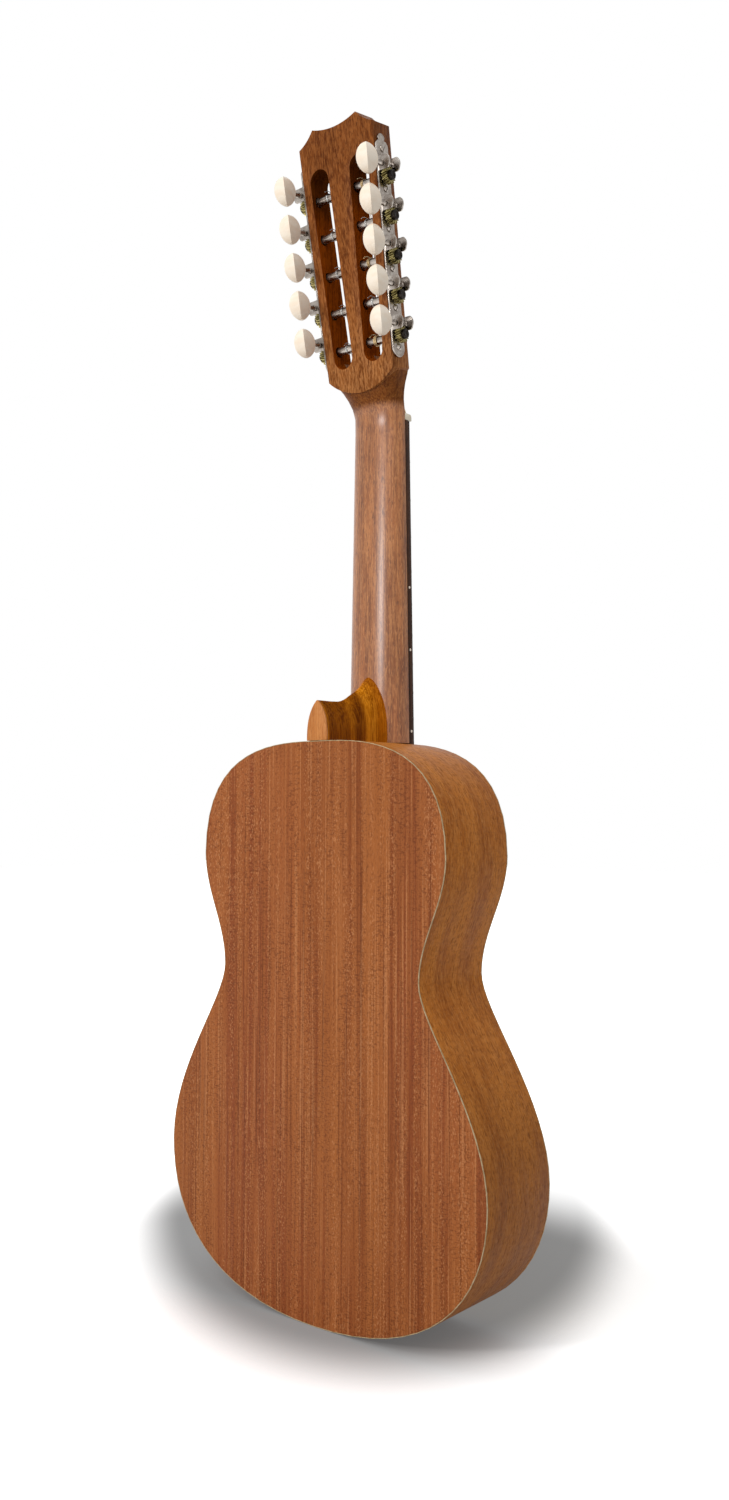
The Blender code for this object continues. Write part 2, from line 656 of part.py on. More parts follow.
def make_bridge(rosewood, bone):
    """A tie bridge with a bone saddle and two moustache wings."""
    foot = FRONT - FIT
    top = FRONT - BRIDGE_HEIGHT
    head = SADDLE_Z + SADDLE / 2 + FIT + BRIDGE_SADDLE_ROOM
    slot = (SADDLE_Z - SADDLE / 2 - FIT, SADDLE_Z + SADDLE / 2 + FIT)
    shelf = slot[0] - BRIDGE_SADDLE_ROOM + BRIDGE_LEDGE
    tie = shelf - TIE_CHANNEL
    tail = tie - TIE_BLOCK
    floor = FRONT - BRIDGE_HEIGHT + SADDLE_SINK
    profile = [(foot, tail), (top, tail), (top, tie), (FRONT - BRIDGE_BASE, tie),
               (FRONT - BRIDGE_BASE, shelf - BRIDGE_SLANT[0]),
               (top, shelf), (top, slot[0]), (floor, slot[0]), (floor, slot[1]), (top, slot[1]),
               (top, head - BRIDGE_SLANT[1]), (FRONT - BRIDGE_BASE, head), (foot, head)]
    half = BRIDGE_LENGTH / 2
    rings = [[(x, y, z) for y, z in profile] for x in (-half, half)]
    bridge = place("bridge", loft_mesh("bridge", rings), rosewood)
    middle = (tail + head) / 2
    width = (head - tail) / 2
    upper, lower = [], []
    steps = 7
    for i in range(steps + 1):
        t = i / steps
        x = half - WING_LAP + (WING + WING_LAP) * t
        centre = middle - WING_DIP * math.sin(math.pi * t) * (1 - t) + WING_CURL * t ** 3
        thick = width * (1 - t) ** 0.8 * 0.82 + WING_TIP
        upper.append((x, centre + thick))
        lower.append((x, centre - thick))
    for hand, name in ((-1, "wing_bass"), (1, "wing_treble")):
        points = [(hand * x, z) for x, z in upper + lower[::-1]]
        wing = plan(points, lambda z: FRONT - BRIDGE_BASE, lambda z: foot)
        combine(bridge, guide(name, loft_mesh(name, wing)), "UNION")
    gap = max(STRING_DIAMETERS) / 2 + FIT
    crest = FRONT - STRING_TOP_SADDLE + gap
    bar = box_rings((SADDLE_SHORT - half, half - SADDLE_SHORT), (crest, floor - FIT), (slot[0] + FIT, slot[1] - FIT))
    place("saddle", loft_mesh("saddle", bar), bone)
    return tie


def string_route(index, tie):
    """From the tie block over the saddle and nut, then round its roller."""
    across_bridge = string_places(COURSE_GAP_BRIDGE, PAIR_GAP_BRIDGE)[index]
    across_nut = string_places(COURSE_GAP_NUT, PAIR_GAP_NUT)[index]
    hand = -1 if index < ROLLERS else 1
    machine = MACHINES[hand]
    nearest = index if hand < 0 else 2 * ROLLERS - 1 - index
    roller = ROLLERS - 1 - nearest
    radius = STRING_DIAMETERS[index] / 2
    saddle_y = FRONT - STRING_TOP_SADDLE
    nut_y = FRONT - STRING_TOP_NUT
    route = [
        Vector((across_bridge, FRONT - BRIDGE_BASE - TIE_HOLE, tie + FIT + radius)),
        Vector((across_bridge, saddle_y + FIT / 3, SADDLE_Z - SADDLE / 2 - FIT)),
        Vector((across_bridge, saddle_y, SADDLE_Z)),
        Vector((across_nut, nut_y, NUT_Z + NUT_LENGTH / 10)),
        Vector((across_nut, nut_y + FIT * 2 / 3, NUT_Z + NUT_LENGTH)),
    ]
    leaving = machine.inverted() @ route[-1]
    coil = (ROLLER_RADIUS + FIT + radius) / math.cos(math.pi / WRAP_STEPS)
    step_in = -hand * (2 * radius + FIT)
    start = -hand * (head_half(SLOT_LOW[1]) - SLOT_LOW[0] - WRAPS * radius)
    away = Vector((0, -leaving.y, -roller * ROLLER_PITCH - leaving.z))
    first = math.atan2(away.y, away.z) - math.asin(coil / math.hypot(away.y, away.z))
    steps = round(WRAPS * WRAP_STEPS)
    for i in range(steps + 1):
        turn = first + 2 * math.pi * i / WRAP_STEPS
        along = start + step_in * i / WRAP_STEPS
        point = Vector((along, -coil * math.cos(turn), -roller * ROLLER_PITCH + coil * math.sin(turn)))
        route.append(machine @ point)
    return route


def make_strings(steel, tie):
    for index in range(2 * ROLLERS):
        curve = bpy.data.curves.new("string", "CURVE")
        curve.dimensions = "3D"
        curve.bevel_depth = STRING_DIAMETERS[index] / 2
        curve.bevel_resolution = 0
        curve.use_fill_caps = True
        route = string_route(index, tie)
        line = curve.splines.new("POLY")
        line.points.add(len(route) - 1)
        for spot, point in zip(line.points, route):
            spot.co = (*point, 1.0)
        curve.materials.append(steel)
        made = bpy.data.objects.new("string_%02d" % (index + 1), curve)
        bpy.context.scene.collection.objects.link(made)


# Tuning machines, in a frame with X out of the head's side, Y toward its back and Z to the crown

def gear_ring(x, hand):
    """The toothed outline at a distance from the side, twisted to follow the worm."""
    slant = LEAD / (2 * math.pi * (WORM_RISE - GEAR_PITCH_RADIUS))
    twist = slant * (x - WORM_OUT) / GEAR_PITCH_RADIUS
    tooth = 2 * math.pi / TEETH
    ring = []
    for i in range(TEETH):
        middle = math.pi / 2 + twist + (i + 0.5) * tooth
        for radius, offset in ((GEAR_ROOT, -0.335), (GEAR_TIP, -0.115), (GEAR_TIP, 0.115), (GEAR_ROOT, 0.335)):
            turn = middle + offset * tooth
            ring.append((hand * x, radius * math.cos(turn), radius * math.sin(turn)))
    return ring


def roller_mesh(hand):
    """The string roller, its gear and its dark end, as one turned and cut piece."""
    low, high = WORM_OUT - GEAR_WIDTH / 2, WORM_OUT + GEAR_WIDTH / 2
    gear = guide("gear_%d" % hand, loft_mesh("gear", [gear_ring(low, hand), gear_ring(high, hand)]))
    shaft = turned(((-ROLLER_REACH, ROLLER_RADIUS), (low + FIT, ROLLER_RADIUS)), 10, "X")
    hub = turned(((high - FIT, HUB_RADIUS), (HUB_END, HUB_RADIUS * 0.93)), 10, "X")
    for name, rings in (("shaft", shaft), ("hub", hub)):
        part = guide("%s_%d" % (name, hand), loft_mesh(name, mirrored(rings, hand)))
        combine(gear, part, "UNION")
    mesh = settled(gear)
    mesh.shade_smooth()
    mesh.set_sharp_from_angle(angle=math.radians(35))
    return mesh


def worm_mesh(hand):
    """The worm, its collars, its journals in the ears and the stem for the button."""
    inner = PLANK_WIDTH / 2 - EAR_INSET - EAR
    collar = inner - JOURNAL_PLAY
    neck = collar - COLLAR_WIDTH
    outer = PLANK_WIDTH / 2 + JOURNAL_PLAY
    button = BUTTON_OUT + AXIS_DEPTH - BUTTON_HALF[1]
    shaft = turned(((-outer, JOURNAL), (-collar, JOURNAL), (-collar, COLLAR), (-neck, WORM_CORE),
                    (neck, WORM_CORE), (collar, COLLAR), (collar, JOURNAL), (outer, JOURNAL),
                    (outer, COLLAR), (button - STEM_ROOT, STEM), (button + STEM_INSIDE, STEM)), 6)
    worm = guide("worm_%d" % hand, loft_mesh("worm", mirrored(shaft, hand)))
    rings = []
    for i in range(WORM_TURNS * WORM_STEPS + 1):
        turn = 2 * math.pi * i / WORM_STEPS
        y = LEAD * (i / WORM_STEPS - WORM_TURNS / 2)
        ring = []
        for radius, along in ((WORM_CORE - FIT, -THREAD_ROOT / 2), (WORM_TIP, 0.0), (WORM_CORE - FIT, THREAD_ROOT / 2)):
            ring.append((hand * radius * math.sin(turn), y + along, radius * math.cos(turn)))
        rings.append(ring)
    combine(worm, guide("thread_%d" % hand, loft_mesh("thread", rings)), "UNION")
    mesh = settled(worm)
    mesh.shade_smooth()
    mesh.set_sharp_from_angle(angle=math.radians(50))
    return mesh


def button_mesh():
    """An almond-shaped button with four ridges, bored for the stem."""
    across, along, tall = BUTTON_HALF
    rings = []
    for share in (-0.985, -0.82, -0.5, 0.0, 0.5, 0.82, 0.985):
        size = (1 - share * share) ** 0.6
        rings.append([(sx * across * size, sy * along * size, share * tall)
                      for sx, sy in ((-1, -1), (1, -1), (1, 1), (-1, 1))])
    button = guide("button", loft_mesh("button", rings))
    bore = turned(((-along - FIT, STEM + FIT), (STEM_INSIDE + FIT - along, STEM + FIT)), 7)
    combine(button, guide("button_bore", loft_mesh("button_bore", bore)), "DIFFERENCE")
    return settled(button)


def plank_outline():
    """The machine plate on Y and Z: three lobes at the crown end, one round end below."""
    half = PLANK_WIDTH / 2
    top = PLANK_ABOVE
    foot = -(ROLLERS - 1) * ROLLER_PITCH - PLANK_BELOW
    points = []
    lobes = (((half - LOBE, top - LOBE_DROP), 0.0, 0.5, 3), ((0.0, top - LOBE), 0.1, 0.9, 6),
             ((LOBE - half, top - LOBE_DROP), 0.5, 1.0, 3))
    for centre, start, end, steps in lobes:
        for i in range(steps + 1):
            turn = math.pi * (start + (end - start) * i / steps)
            points.append((centre[0] + LOBE * math.cos(turn), centre[1] + LOBE * math.sin(turn)))
    steps = 8
    for i in range(steps + 1):
        turn = math.pi * (1 + i / steps)
        points.append((half * math.cos(turn), foot + half + half * math.sin(turn)))
    return points


def ear_outline():
    """A bracket ear on X and Z, about the worm axis, round at its outer corners."""
    reach = EAR_REACH - WORM_OUT
    middle = EAR_HIGH - EAR_CORNER
    points = [(PLANK - WORM_OUT, -EAR_LOW), (reach - EAR_CUT, -EAR_LOW), (reach, EAR_CUT - EAR_LOW)]
    for turn in (0.0, math.pi / 4, math.pi / 2):
        points.append((reach - EAR_CORNER * (1 - math.cos(turn)), middle + EAR_CORNER * math.sin(turn)))
    return points + [(PLANK - WORM_OUT, EAR_HIGH)]


def make_plank(name, hand, frame, nickel):
    """The plate, its ten ears and its six screws."""
    points = plank_outline()
    rings = [[(hand * x, y, z) for y, z in points] for x in (FIT, FIT + PLANK)]
    plank = place("machine_plate_" + name, loft_mesh("machine_plate", rings), nickel, frame)
    half = PLANK_WIDTH / 2
    hole = turned(((-PLANK, ROLLER_RADIUS + FIT), (3 * PLANK, ROLLER_RADIUS + FIT)), 10, "X")
    journal = turned(((-half - EAR, JOURNAL + FIT), (half + EAR, JOURNAL + FIT)), 6)
    screw = turned(((PLANK / 2, SCREW_RADIUS), (FIT + PLANK + SCREW_RIM, SCREW_RADIUS),
                    (FIT + PLANK + SCREW_CROWN, SCREW_RADIUS * 0.55)), 6, "X")
    ear = [(x * hand, z) for x, z in ear_outline()]
    shapes = {
        "screw": loft_mesh("screw", mirrored(screw, hand)),
        "ear": loft_mesh("ear", plan(ear, lambda z: 0.0, lambda z: EAR)),
        "hole": loft_mesh("hole", mirrored(hole, hand)),
        "journal": loft_mesh("journal", mirrored(journal, hand)),
    }
    steps = []
    for i in range(ROLLERS + 1):
        steps.append(("screw", (0, 0, SCREW_ABOVE - i * ROLLER_PITCH), "UNION"))
    for i in range(ROLLERS):
        axis = Vector((hand * WORM_OUT, 0, WORM_RISE - i * ROLLER_PITCH))
        steps.append(("ear", axis + Vector((0, half - EAR_INSET - EAR, 0)), "UNION"))
        steps.append(("ear", axis + Vector((0, EAR_INSET - half, 0)), "UNION"))
        steps.append(("journal", axis, "DIFFERENCE"))
        steps.append(("hole", (0, 0, -i * ROLLER_PITCH), "DIFFERENCE"))
    for count, (kind, location, operation) in enumerate(steps):
        label = "%s_%s_%d" % (kind, name, count)
        combine(plank, guide(label, shapes[kind], frame, location), operation)


def make_machines(nickel, brass, pearl, frames):
    for hand, name in ((-1, "bass"), (1, "treble")):
        frame = frames[hand]
        make_plank(name, hand, frame, nickel)
        roller, worm, button = roller_mesh(hand), worm_mesh(hand), button_mesh()
        for i in range(ROLLERS):
            z = -i * ROLLER_PITCH
            label = "_%s_%d" % (name, i + 1)
            axis = Vector((hand * WORM_OUT, 0, z + WORM_RISE))
            place("roller" + label, roller, brass, frame, (0, 0, z))
            place("worm" + label, worm, nickel, frame, axis)
            place("button" + label, button, pearl, frame, axis + Vector((0, BUTTON_OUT + AXIS_DEPTH, 0)))


# Where each machine sits: on the side of the head, at the first roller
MACHINES = {}
for side_hand in (-1, 1):
    MACHINES[side_hand] = (HEAD_FRAME
                           @ Matrix.Translation((side_hand * head_half(FIRST_ROLLER), -AXIS_DEPTH, FIRST_ROLLER))
                           @ Matrix.Rotation(side_hand * SIDE_TAPER, 4, "Y"))


def build():
    for old in list(bpy.data.objects):
        bpy.data.objects.remove(old, do_unlink=True)
    spruce = material("spruce", (0.62, 0.42, 0.22), 0.35)
    sapele = material("sapele", (0.38, 0.13, 0.06), 0.25)
    maple = material("pale binding", (0.72, 0.60, 0.40), 0.4)
    cedar = material("cedar", (0.42, 0.22, 0.11), 0.6)
    mahogany = material("mahogany", (0.42, 0.17, 0.08), 0.35)
    rosewood = material("rosewood", (0.05, 0.025, 0.018), 0.4)
    bone = material("bone", (0.80, 0.74, 0.58), 0.4)
    steel = material("steel", (0.62, 0.60, 0.56), 0.3, 1.0)
    nickel = material("nickel", (0.45, 0.42, 0.38), 0.35, 1.0)
    brass = material("brass", (0.50, 0.40, 0.16), 0.35, 1.0)
    pearl = material("pearl", (0.86, 0.82, 0.74), 0.25)
    head = empty("head_frame", HEAD_FRAME)
    frames = {}
    for hand, name in ((-1, "bass"), (1, "treble")):
        frames[hand] = empty("machine_frame_" + name, HEAD_FRAME.inverted() @ MACHINES[hand], head)
    make_plates(spruce, sapele)
    make_bindings(maple)
    make_blocks(cedar)
    make_sides(sapele)
    make_braces(spruce)
    make_neck(mahogany, head)
    make_fretboard(rosewood)
    make_nut(bone)
    tie = make_bridge(rosewood, bone)
    make_strings(steel, tie)
    make_machines(nickel, brass, pearl, frames)


build()
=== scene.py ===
# %% [markdown]
# # Viola amarantina, seen from behind
# The frame comes first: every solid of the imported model, in metres, in its real place.
# What follows gives these solids their finishes, and builds finer pieces where the solids are plain.

# %% Load the frame
import json
import math
import bmesh
import bpy
from mathutils import Matrix, Vector


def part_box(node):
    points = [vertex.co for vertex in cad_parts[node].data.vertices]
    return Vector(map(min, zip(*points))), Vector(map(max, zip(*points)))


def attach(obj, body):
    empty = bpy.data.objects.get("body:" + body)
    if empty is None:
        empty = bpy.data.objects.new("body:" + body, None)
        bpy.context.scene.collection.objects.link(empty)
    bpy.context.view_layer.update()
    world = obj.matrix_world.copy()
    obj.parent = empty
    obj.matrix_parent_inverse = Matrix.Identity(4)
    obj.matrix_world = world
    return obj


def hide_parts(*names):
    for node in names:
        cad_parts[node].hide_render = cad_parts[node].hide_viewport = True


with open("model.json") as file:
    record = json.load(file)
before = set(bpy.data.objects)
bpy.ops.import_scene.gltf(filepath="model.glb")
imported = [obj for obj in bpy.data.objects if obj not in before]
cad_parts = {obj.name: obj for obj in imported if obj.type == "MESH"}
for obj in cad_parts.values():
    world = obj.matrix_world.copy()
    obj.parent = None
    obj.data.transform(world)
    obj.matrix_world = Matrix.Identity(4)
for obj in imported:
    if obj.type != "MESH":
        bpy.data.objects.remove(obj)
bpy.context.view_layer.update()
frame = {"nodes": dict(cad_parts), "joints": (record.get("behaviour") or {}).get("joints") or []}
nodes = frame["nodes"]
MM = 0.001


def in_scene(name, data):
    """A new object in the scene, at the origin."""
    made = bpy.data.objects.new(name, data)
    bpy.context.scene.collection.objects.link(made)
    return made


def mesh_from(name, skin):
    """Moves a bmesh into a mesh."""
    mesh = bpy.data.meshes.new(name)
    skin.to_mesh(mesh)
    skin.free()
    return mesh


print("nodes", len(nodes))

# %% [markdown]
# ## Camera
# The photograph is upright, so the sensor's long side is the picture's height. The camera stands
# low, a metre off, behind the bass side, and looks up by less than three degrees.
# A camera can be aimed at a target by eye. Here its place, angles and lens were worked out together
# with the outline, so that body, neck and head all fall where the photograph has them.

# %% Camera
camera = in_scene("camera", bpy.data.cameras.new("camera"))
camera.location = (-0.602, 0.7219, 0.3574)
camera.data.sensor_fit = "VERTICAL"
camera.data.sensor_height = 36.0
camera.data.lens = 30.84
YAW, PITCH = math.radians(39.378), math.radians(2.643)
looking = Vector((math.sin(YAW) * math.cos(PITCH), -math.cos(YAW) * math.cos(PITCH), math.sin(PITCH)))
camera.rotation_euler = looking.to_track_quat("-Z", "Y").to_euler()
bpy.context.scene.camera = camera
print("camera looks along", [round(part, 3) for part in looking])

# %% [markdown]
# ## Shader maths
# A finish is a small graph of nodes. This class wraps one socket, so that an expression such as
# `1 - mask * 0.5` adds the Math nodes by itself, and `node` adds any other kind of node.
# The nodes could be added and linked one by one, but a finish written as sums is short enough to read.

# %% Shader helper
class Wire:
    """A socket's value that takes part in Python arithmetic."""

    def __init__(self, finish, socket):
        self.finish = finish
        self.socket = socket

    def maths(self, operation, *values):
        return self.finish.node("ShaderNodeMath", {"operation": operation}, dict(enumerate(values)))

    def __add__(self, other):
        return self.maths("ADD", self, other)

    def __sub__(self, other):
        return self.maths("SUBTRACT", self, other)

    def __rsub__(self, other):
        return self.maths("SUBTRACT", other, self)

    def __mul__(self, other):
        return self.maths("MULTIPLY", self, other)

    __radd__ = __add__
    __rmul__ = __mul__


class Finish:
    """A material whose Principled shader is fed by name."""

    def __init__(self, name, **fixed):
        self.material = bpy.data.materials.new(name)
        self.material.use_nodes = True
        self.tree = self.material.node_tree
        self.shader = self.tree.nodes["Principled BSDF"]
        for socket, value in fixed.items():
            self.feed(socket.replace("_", " ").title().replace("Ior", "IOR"), value)

    def node(self, kind, settings=None, inputs=None, output=0):
        made = self.tree.nodes.new(kind)
        for setting, value in (settings or {}).items():
            setattr(made, setting, value)
        for socket, value in (inputs or {}).items():
            self.join(made.inputs[socket], value)
        return Wire(self, made.outputs[output])

    def join(self, socket, value):
        if isinstance(value, Wire):
            self.tree.links.new(value.socket, socket)
        else:
            socket.default_value = value

    def feed(self, socket, value):
        self.join(self.shader.inputs[socket], value)

    def place(self, scale=(1, 1, 1), source="Object"):
        """Coordinates in metres, or from the piece's own UV map, stretched."""
        if source == "Object":
            where = self.node("ShaderNodeTexCoord", output="Object")
        else:
            where = self.node("ShaderNodeUVMap", {"uv_map": source})
        return self.node("ShaderNodeMapping", None, {"Vector": where, "Scale": scale})

    def along(self, axis):
        """How far a point lies along X, Y or Z, in metres."""
        return self.node("ShaderNodeSeparateXYZ", None, {0: self.place()}, axis)

    def vectors(self, operation, *values, output=0):
        return self.node("ShaderNodeVectorMath", {"operation": operation}, dict(enumerate(values)), output)

    def noise(self, where, detail):
        return self.node("ShaderNodeTexNoise", None, {"Vector": where, "Scale": 1.0, "Detail": detail})

    def between(self, value, low, high, to_low=0.0, to_high=1.0):
        """Stretches a value from low..high to a new range, and stops there."""
        inputs = {"Value": value, "From Min": low, "From Max": high, "To Min": to_low, "To Max": to_high}
        return self.node("ShaderNodeMapRange", {"interpolation_type": "SMOOTHSTEP"}, inputs)

    def mix(self, factor, one, two, way="MIX"):
        settings = {"data_type": "RGBA", "blend_type": way, "clamp_factor": True}
        return self.node("ShaderNodeMix", settings, {0: factor, 6: one, 7: two}, 2)

    def bump(self, height, strength, distance):
        inputs = {"Height": height, "Strength": strength, "Distance": distance}
        self.feed("Normal", self.node("ShaderNodeBump", None, inputs))


plain = Finish("plain")
print("a finish starts with", len(plain.tree.nodes), "nodes")
bpy.data.materials.remove(plain.material)

# %% [markdown]
# ## Colours
# A colour picked on a screen isn't the value that a shader takes, which is linear. The converted values
# could be typed in, but nobody could read them, so a function converts each one. `layered` lays one
# colour after another over a wood or a metal, as stain, grain and pores lie over each other.

# %% Colours
def shade(red, green, blue):
    """A colour as seen on a screen, 0 to 255, in the linear values that a shader takes."""
    linear = []
    for part in (red, green, blue):
        level = part / 255
        linear.append(level / 12.92 if level <= 0.04045 else ((level + 0.055) / 1.055) ** 2.4)
    return (*linear, 1.0)


def layered(finish, tone, *layers):
    """Lays colours over a tone, each where its mask is high."""
    for mask, colour in layers:
        tone = finish.mix(mask, tone, colour)
    return tone


def dress(finish, *names):
    for name in names:
        mesh = nodes[name].data
        mesh.materials.clear()
        mesh.materials.append(finish.material)


print("half grey is", round(shade(128, 128, 128)[0], 3), "in a shader")

# %% [markdown]
# ## Light
# A broad lamp high up on the camera's side throws the shadow to the far side, and a smaller one on
# the treble side draws the bright line along the neck. The camera, mirrors and glass see the room as
# pure white, as the photograph's ground is, but it lights the wood at two thirds of that.
# A picture of a studio could light it as well. Two lamps and an even room come close, and each can be
# moved alone.

# %% Lamps and room
def lamp(name, place, target, size, power):
    made = in_scene(name, bpy.data.lights.new(name, "AREA"))
    made.data.size = size
    made.data.energy = power
    made.location = place
    made.rotation_euler = (Vector(target) - Vector(place)).to_track_quat("-Z", "Y").to_euler()


lamp("lamp_above", (-0.30, 1.60, 1.90), (0.0, 0.0, 0.1), 0.9, 14.0)
lamp("lamp_behind", (0.30, 1.40, 0.80), (0.0, 0.0, 0.45), 0.2, 6.5)


def white_rays(tree):
    """One where a ray from the camera, a mirror or glass arrives, and zero for the light itself."""
    ways = tree.nodes.new("ShaderNodeLightPath")
    total = None
    for way in ("Is Camera Ray", "Is Glossy Ray", "Is Transmission Ray"):
        step = tree.nodes.new("ShaderNodeMath")
        step.operation = "MAXIMUM"
        step.inputs[1].default_value = 0.0
        tree.links.new(ways.outputs[way], step.inputs[0])
        if total:
            tree.links.new(total, step.inputs[1])
        total = step.outputs[0]
    return total


world = bpy.data.worlds.new("room")
bpy.context.scene.world = world
world.use_nodes = True
room = world.node_tree
level = room.nodes.new("ShaderNodeMapRange")
level.inputs["To Min"].default_value = 0.66
level.inputs["To Max"].default_value = 1.0
room.links.new(white_rays(room), level.inputs["Value"])
room.links.new(level.outputs[0], room.nodes["Background"].inputs["Strength"])
room.nodes["Background"].inputs["Color"].default_value = (1, 1, 1, 1)
bpy.context.scene.view_settings.view_transform = "Standard"
print("lamps", len(bpy.data.lights))

# %% [markdown]
# ## Floor
# White paper. Near the body it is plain paper, so it takes the soft grey shadow. Farther out it
# glows as white as the room for the camera, so that no horizon shows. The photograph's shadow is a
# soft, even patch, deeper than a lamp's, so a painted shadow greys the paper a little in an oval there.
# Other lamps would deepen the shadow too, but they would change the wood with it.

# %% Floor
skin = bmesh.new()
bmesh.ops.create_grid(skin, x_segments=1, y_segments=1, size=6.0)
floor = in_scene("floor", mesh_from("floor", skin))
paper = Finish("paper", roughness=0.9, specular_ior_level=0.0)
floor.data.materials.append(paper.material)
where = paper.place((1 / 0.42, 1 / 0.36, 1))
far = paper.between(paper.vectors("LENGTH", where, output=1), 0.6, 1.0)
white = Wire(paper, white_rays(paper.tree))
# Painted shadow: for the camera, the paper's colour is greyed in a soft oval behind the body.
centre = paper.vectors("ADD", paper.place(), (-0.175, 0.245, 0))
oval = paper.node("ShaderNodeMapping", {"vector_type": "TEXTURE"},
                  {"Vector": centre, "Rotation": (0, 0, YAW), "Scale": (0.203, 0.405, 1)})
painted_shadow = paper.between(paper.vectors("LENGTH", oval, output=1), 0.88, 1.14, 1, 0)
shown = paper.mix(painted_shadow, (1.25, 1.25, 1.25, 1), (0.25, 0.25, 0.25, 1))
paper.feed("Base Color", paper.mix(white, (0.5, 0.5, 0.5, 1), shown))
glow = paper.node("ShaderNodeEmission", None, {"Color": (1, 1, 1, 1), "Strength": white * (0.10 + far * 0.8)})
both = paper.node("ShaderNodeAddShader", None, {0: Wire(paper, paper.shader.outputs[0]), 1: glow})
paper.join(paper.tree.nodes["Material Output"].inputs["Surface"], both)
print("floor", floor.name)

# %% [markdown]
# ## A pen for outlines
# Plates, slots and ears are all sawn from flat stock. `Pen` draws such an outline with two operators:
# a straight line is an extruded vertex and an arc is a spun one. Points could be listed instead, but
# lines and arcs are what a drawing gives.

# %% Outline pen
class Pen:
    """Draws on X and Z; the plane's depth is Y."""

    def __init__(self, x, z):
        self.skin = bmesh.new()
        self.tip = self.skin.verts.new((x, 0, z))

    def line(self, x, z):
        grown = bmesh.ops.extrude_vert_indiv(self.skin, verts=[self.tip])
        self.tip = grown["verts"][0]
        self.tip.co = (x, 0, z)
        return self

    def arc(self, x, z, degrees, steps):
        """Turns about a centre; positive is anticlockwise on X and Z."""
        spun = bmesh.ops.spin(self.skin, geom=[self.tip], cent=(x, 0, z), axis=(0, -1, 0),
                              angle=math.radians(degrees), steps=steps)
        self.tip = spun["geom_last"][0]
        return self

    def bow(self, x, z, sag, steps):
        """An arc to a point, bulging to the left of the way there by sag."""
        start, end = self.tip.co.copy(), Vector((x, 0, z))
        chord = end - start
        radius = chord.length ** 2 / (8 * abs(sag)) + abs(sag) / 2
        left = Vector((-chord.z, 0, chord.x)).normalized()
        centre = (start + end) / 2 - left * math.copysign(radius - abs(sag), sag)
        sweep = 2 * math.degrees(math.asin(min(1.0, chord.length / 2 / radius)))
        self.arc(centre.x, centre.z, -math.copysign(sweep, sag), steps)
        self.tip.co = end
        return self

    def plate(self, front, back):
        """Closes the outline and gives it depth, from one Y to another."""
        bmesh.ops.remove_doubles(self.skin, verts=self.skin.verts, dist=1e-6)
        loop = [edge for edge in self.skin.edges if len(edge.link_faces) == 0]
        ends = [vert for vert in self.skin.verts if len(vert.link_edges) == 1]
        if ends:
            loop.append(self.skin.edges.new(ends))
        bmesh.ops.edgeloop_fill(self.skin, edges=loop)
        return thicken(self.skin, front, back)


def thicken(skin, front, back):
    """Moves flat faces to the front and extrudes them to the back."""
    bmesh.ops.translate(skin, verts=skin.verts, vec=(0, front, 0))
    grown = bmesh.ops.extrude_face_region(skin, geom=list(skin.faces))
    far = [part for part in grown["geom"] if isinstance(part, bmesh.types.BMVert)]
    bmesh.ops.translate(skin, verts=far, vec=(0, back - front, 0))
    return skin


arc = Pen(1.0, 0.0).arc(0, 0, 90, 8).skin
print("points in a quarter arc", len(arc.verts))
arc.free()

# %% [markdown]
# ## Turning and rounding
# Rollers, shafts and screws are turned, so `lathe` spins a profile round an axis; a cylinder for each
# step would leave faces inside. Real edges are never sharp, so `round_edges` bevels those that a
# file would take off. A Bevel modifier does the same, but it would come after the cuts.

# %% Turning and rounding
def lathe(profile, steps=32, axis=(1, 0, 0)):
    """Spins (along, radius) points, in millimetres, round X or Y into a closed turned piece."""
    skin = bmesh.new()
    along_x = axis[0] == 1
    spots = [(a * MM, 0, r * MM) if along_x else (0, a * MM, r * MM) for a, r in profile]
    verts = [skin.verts.new(spot) for spot in spots]
    chain = [skin.edges.new(pair) for pair in zip(verts, verts[1:])]
    bmesh.ops.spin(skin, geom=verts + chain, cent=(0, 0, 0), axis=axis, angle=math.tau, steps=steps,
                   use_merge=True)
    bmesh.ops.remove_doubles(skin, verts=skin.verts, dist=1e-7)
    bmesh.ops.dissolve_degenerate(skin, edges=skin.edges, dist=1e-7)
    return skin


def face_outward(skin):
    """Turns all faces of a closed bmesh to the outside, which a negative volume shows they missed."""
    bmesh.ops.recalc_face_normals(skin, faces=skin.faces)
    if skin.calc_volume(signed=True) < 0:
        bmesh.ops.reverse_faces(skin, faces=skin.faces)


def round_edges(skin, width, segments=2, sharper=35.0):
    """Bevels every edge where two faces turn by more than an angle."""
    face_outward(skin)
    edges = [edge for edge in skin.edges
             if edge.is_manifold and edge.calc_face_angle() > math.radians(sharper)]
    bmesh.ops.bevel(skin, geom=edges, offset=width, segments=segments, profile=0.5, affect="EDGES",
                    material=-1, clamp_overlap=True)
    return skin


def box(skin, middle, size, turn=None):
    bmesh.ops.create_cube(skin, size=1.0, matrix=Matrix.LocRotScale(Vector(middle), turn, Vector(size)))
    return skin


def set_up(skin, matrix):
    bmesh.ops.transform(skin, matrix=matrix, verts=skin.verts)
    return skin


def from_the_side(skin, hand=1):
    """Turns what was drawn as a side view, so that its depth runs across, toward one hand."""
    for vert in skin.verts:
        vert.co = (hand * vert.co.y, vert.co.x, vert.co.z)
    return skin


washer = lathe(((0.0, 1.0), (1.0, 1.0), (1.0, 2.0), (0.0, 2.0), (0.0, 1.0)), 8)
print("faces of a turned washer", len(washer.faces))
washer.free()

# %% [markdown]
# ## Pieces and cuts
# `solid` makes a finished piece of a bmesh, with its place in its mesh and its object at the origin.
# `cut` takes other shapes out of one, as a drill or a saw does. Holes could be modelled face by face,
# but a Boolean keeps both the block and the tool simple.

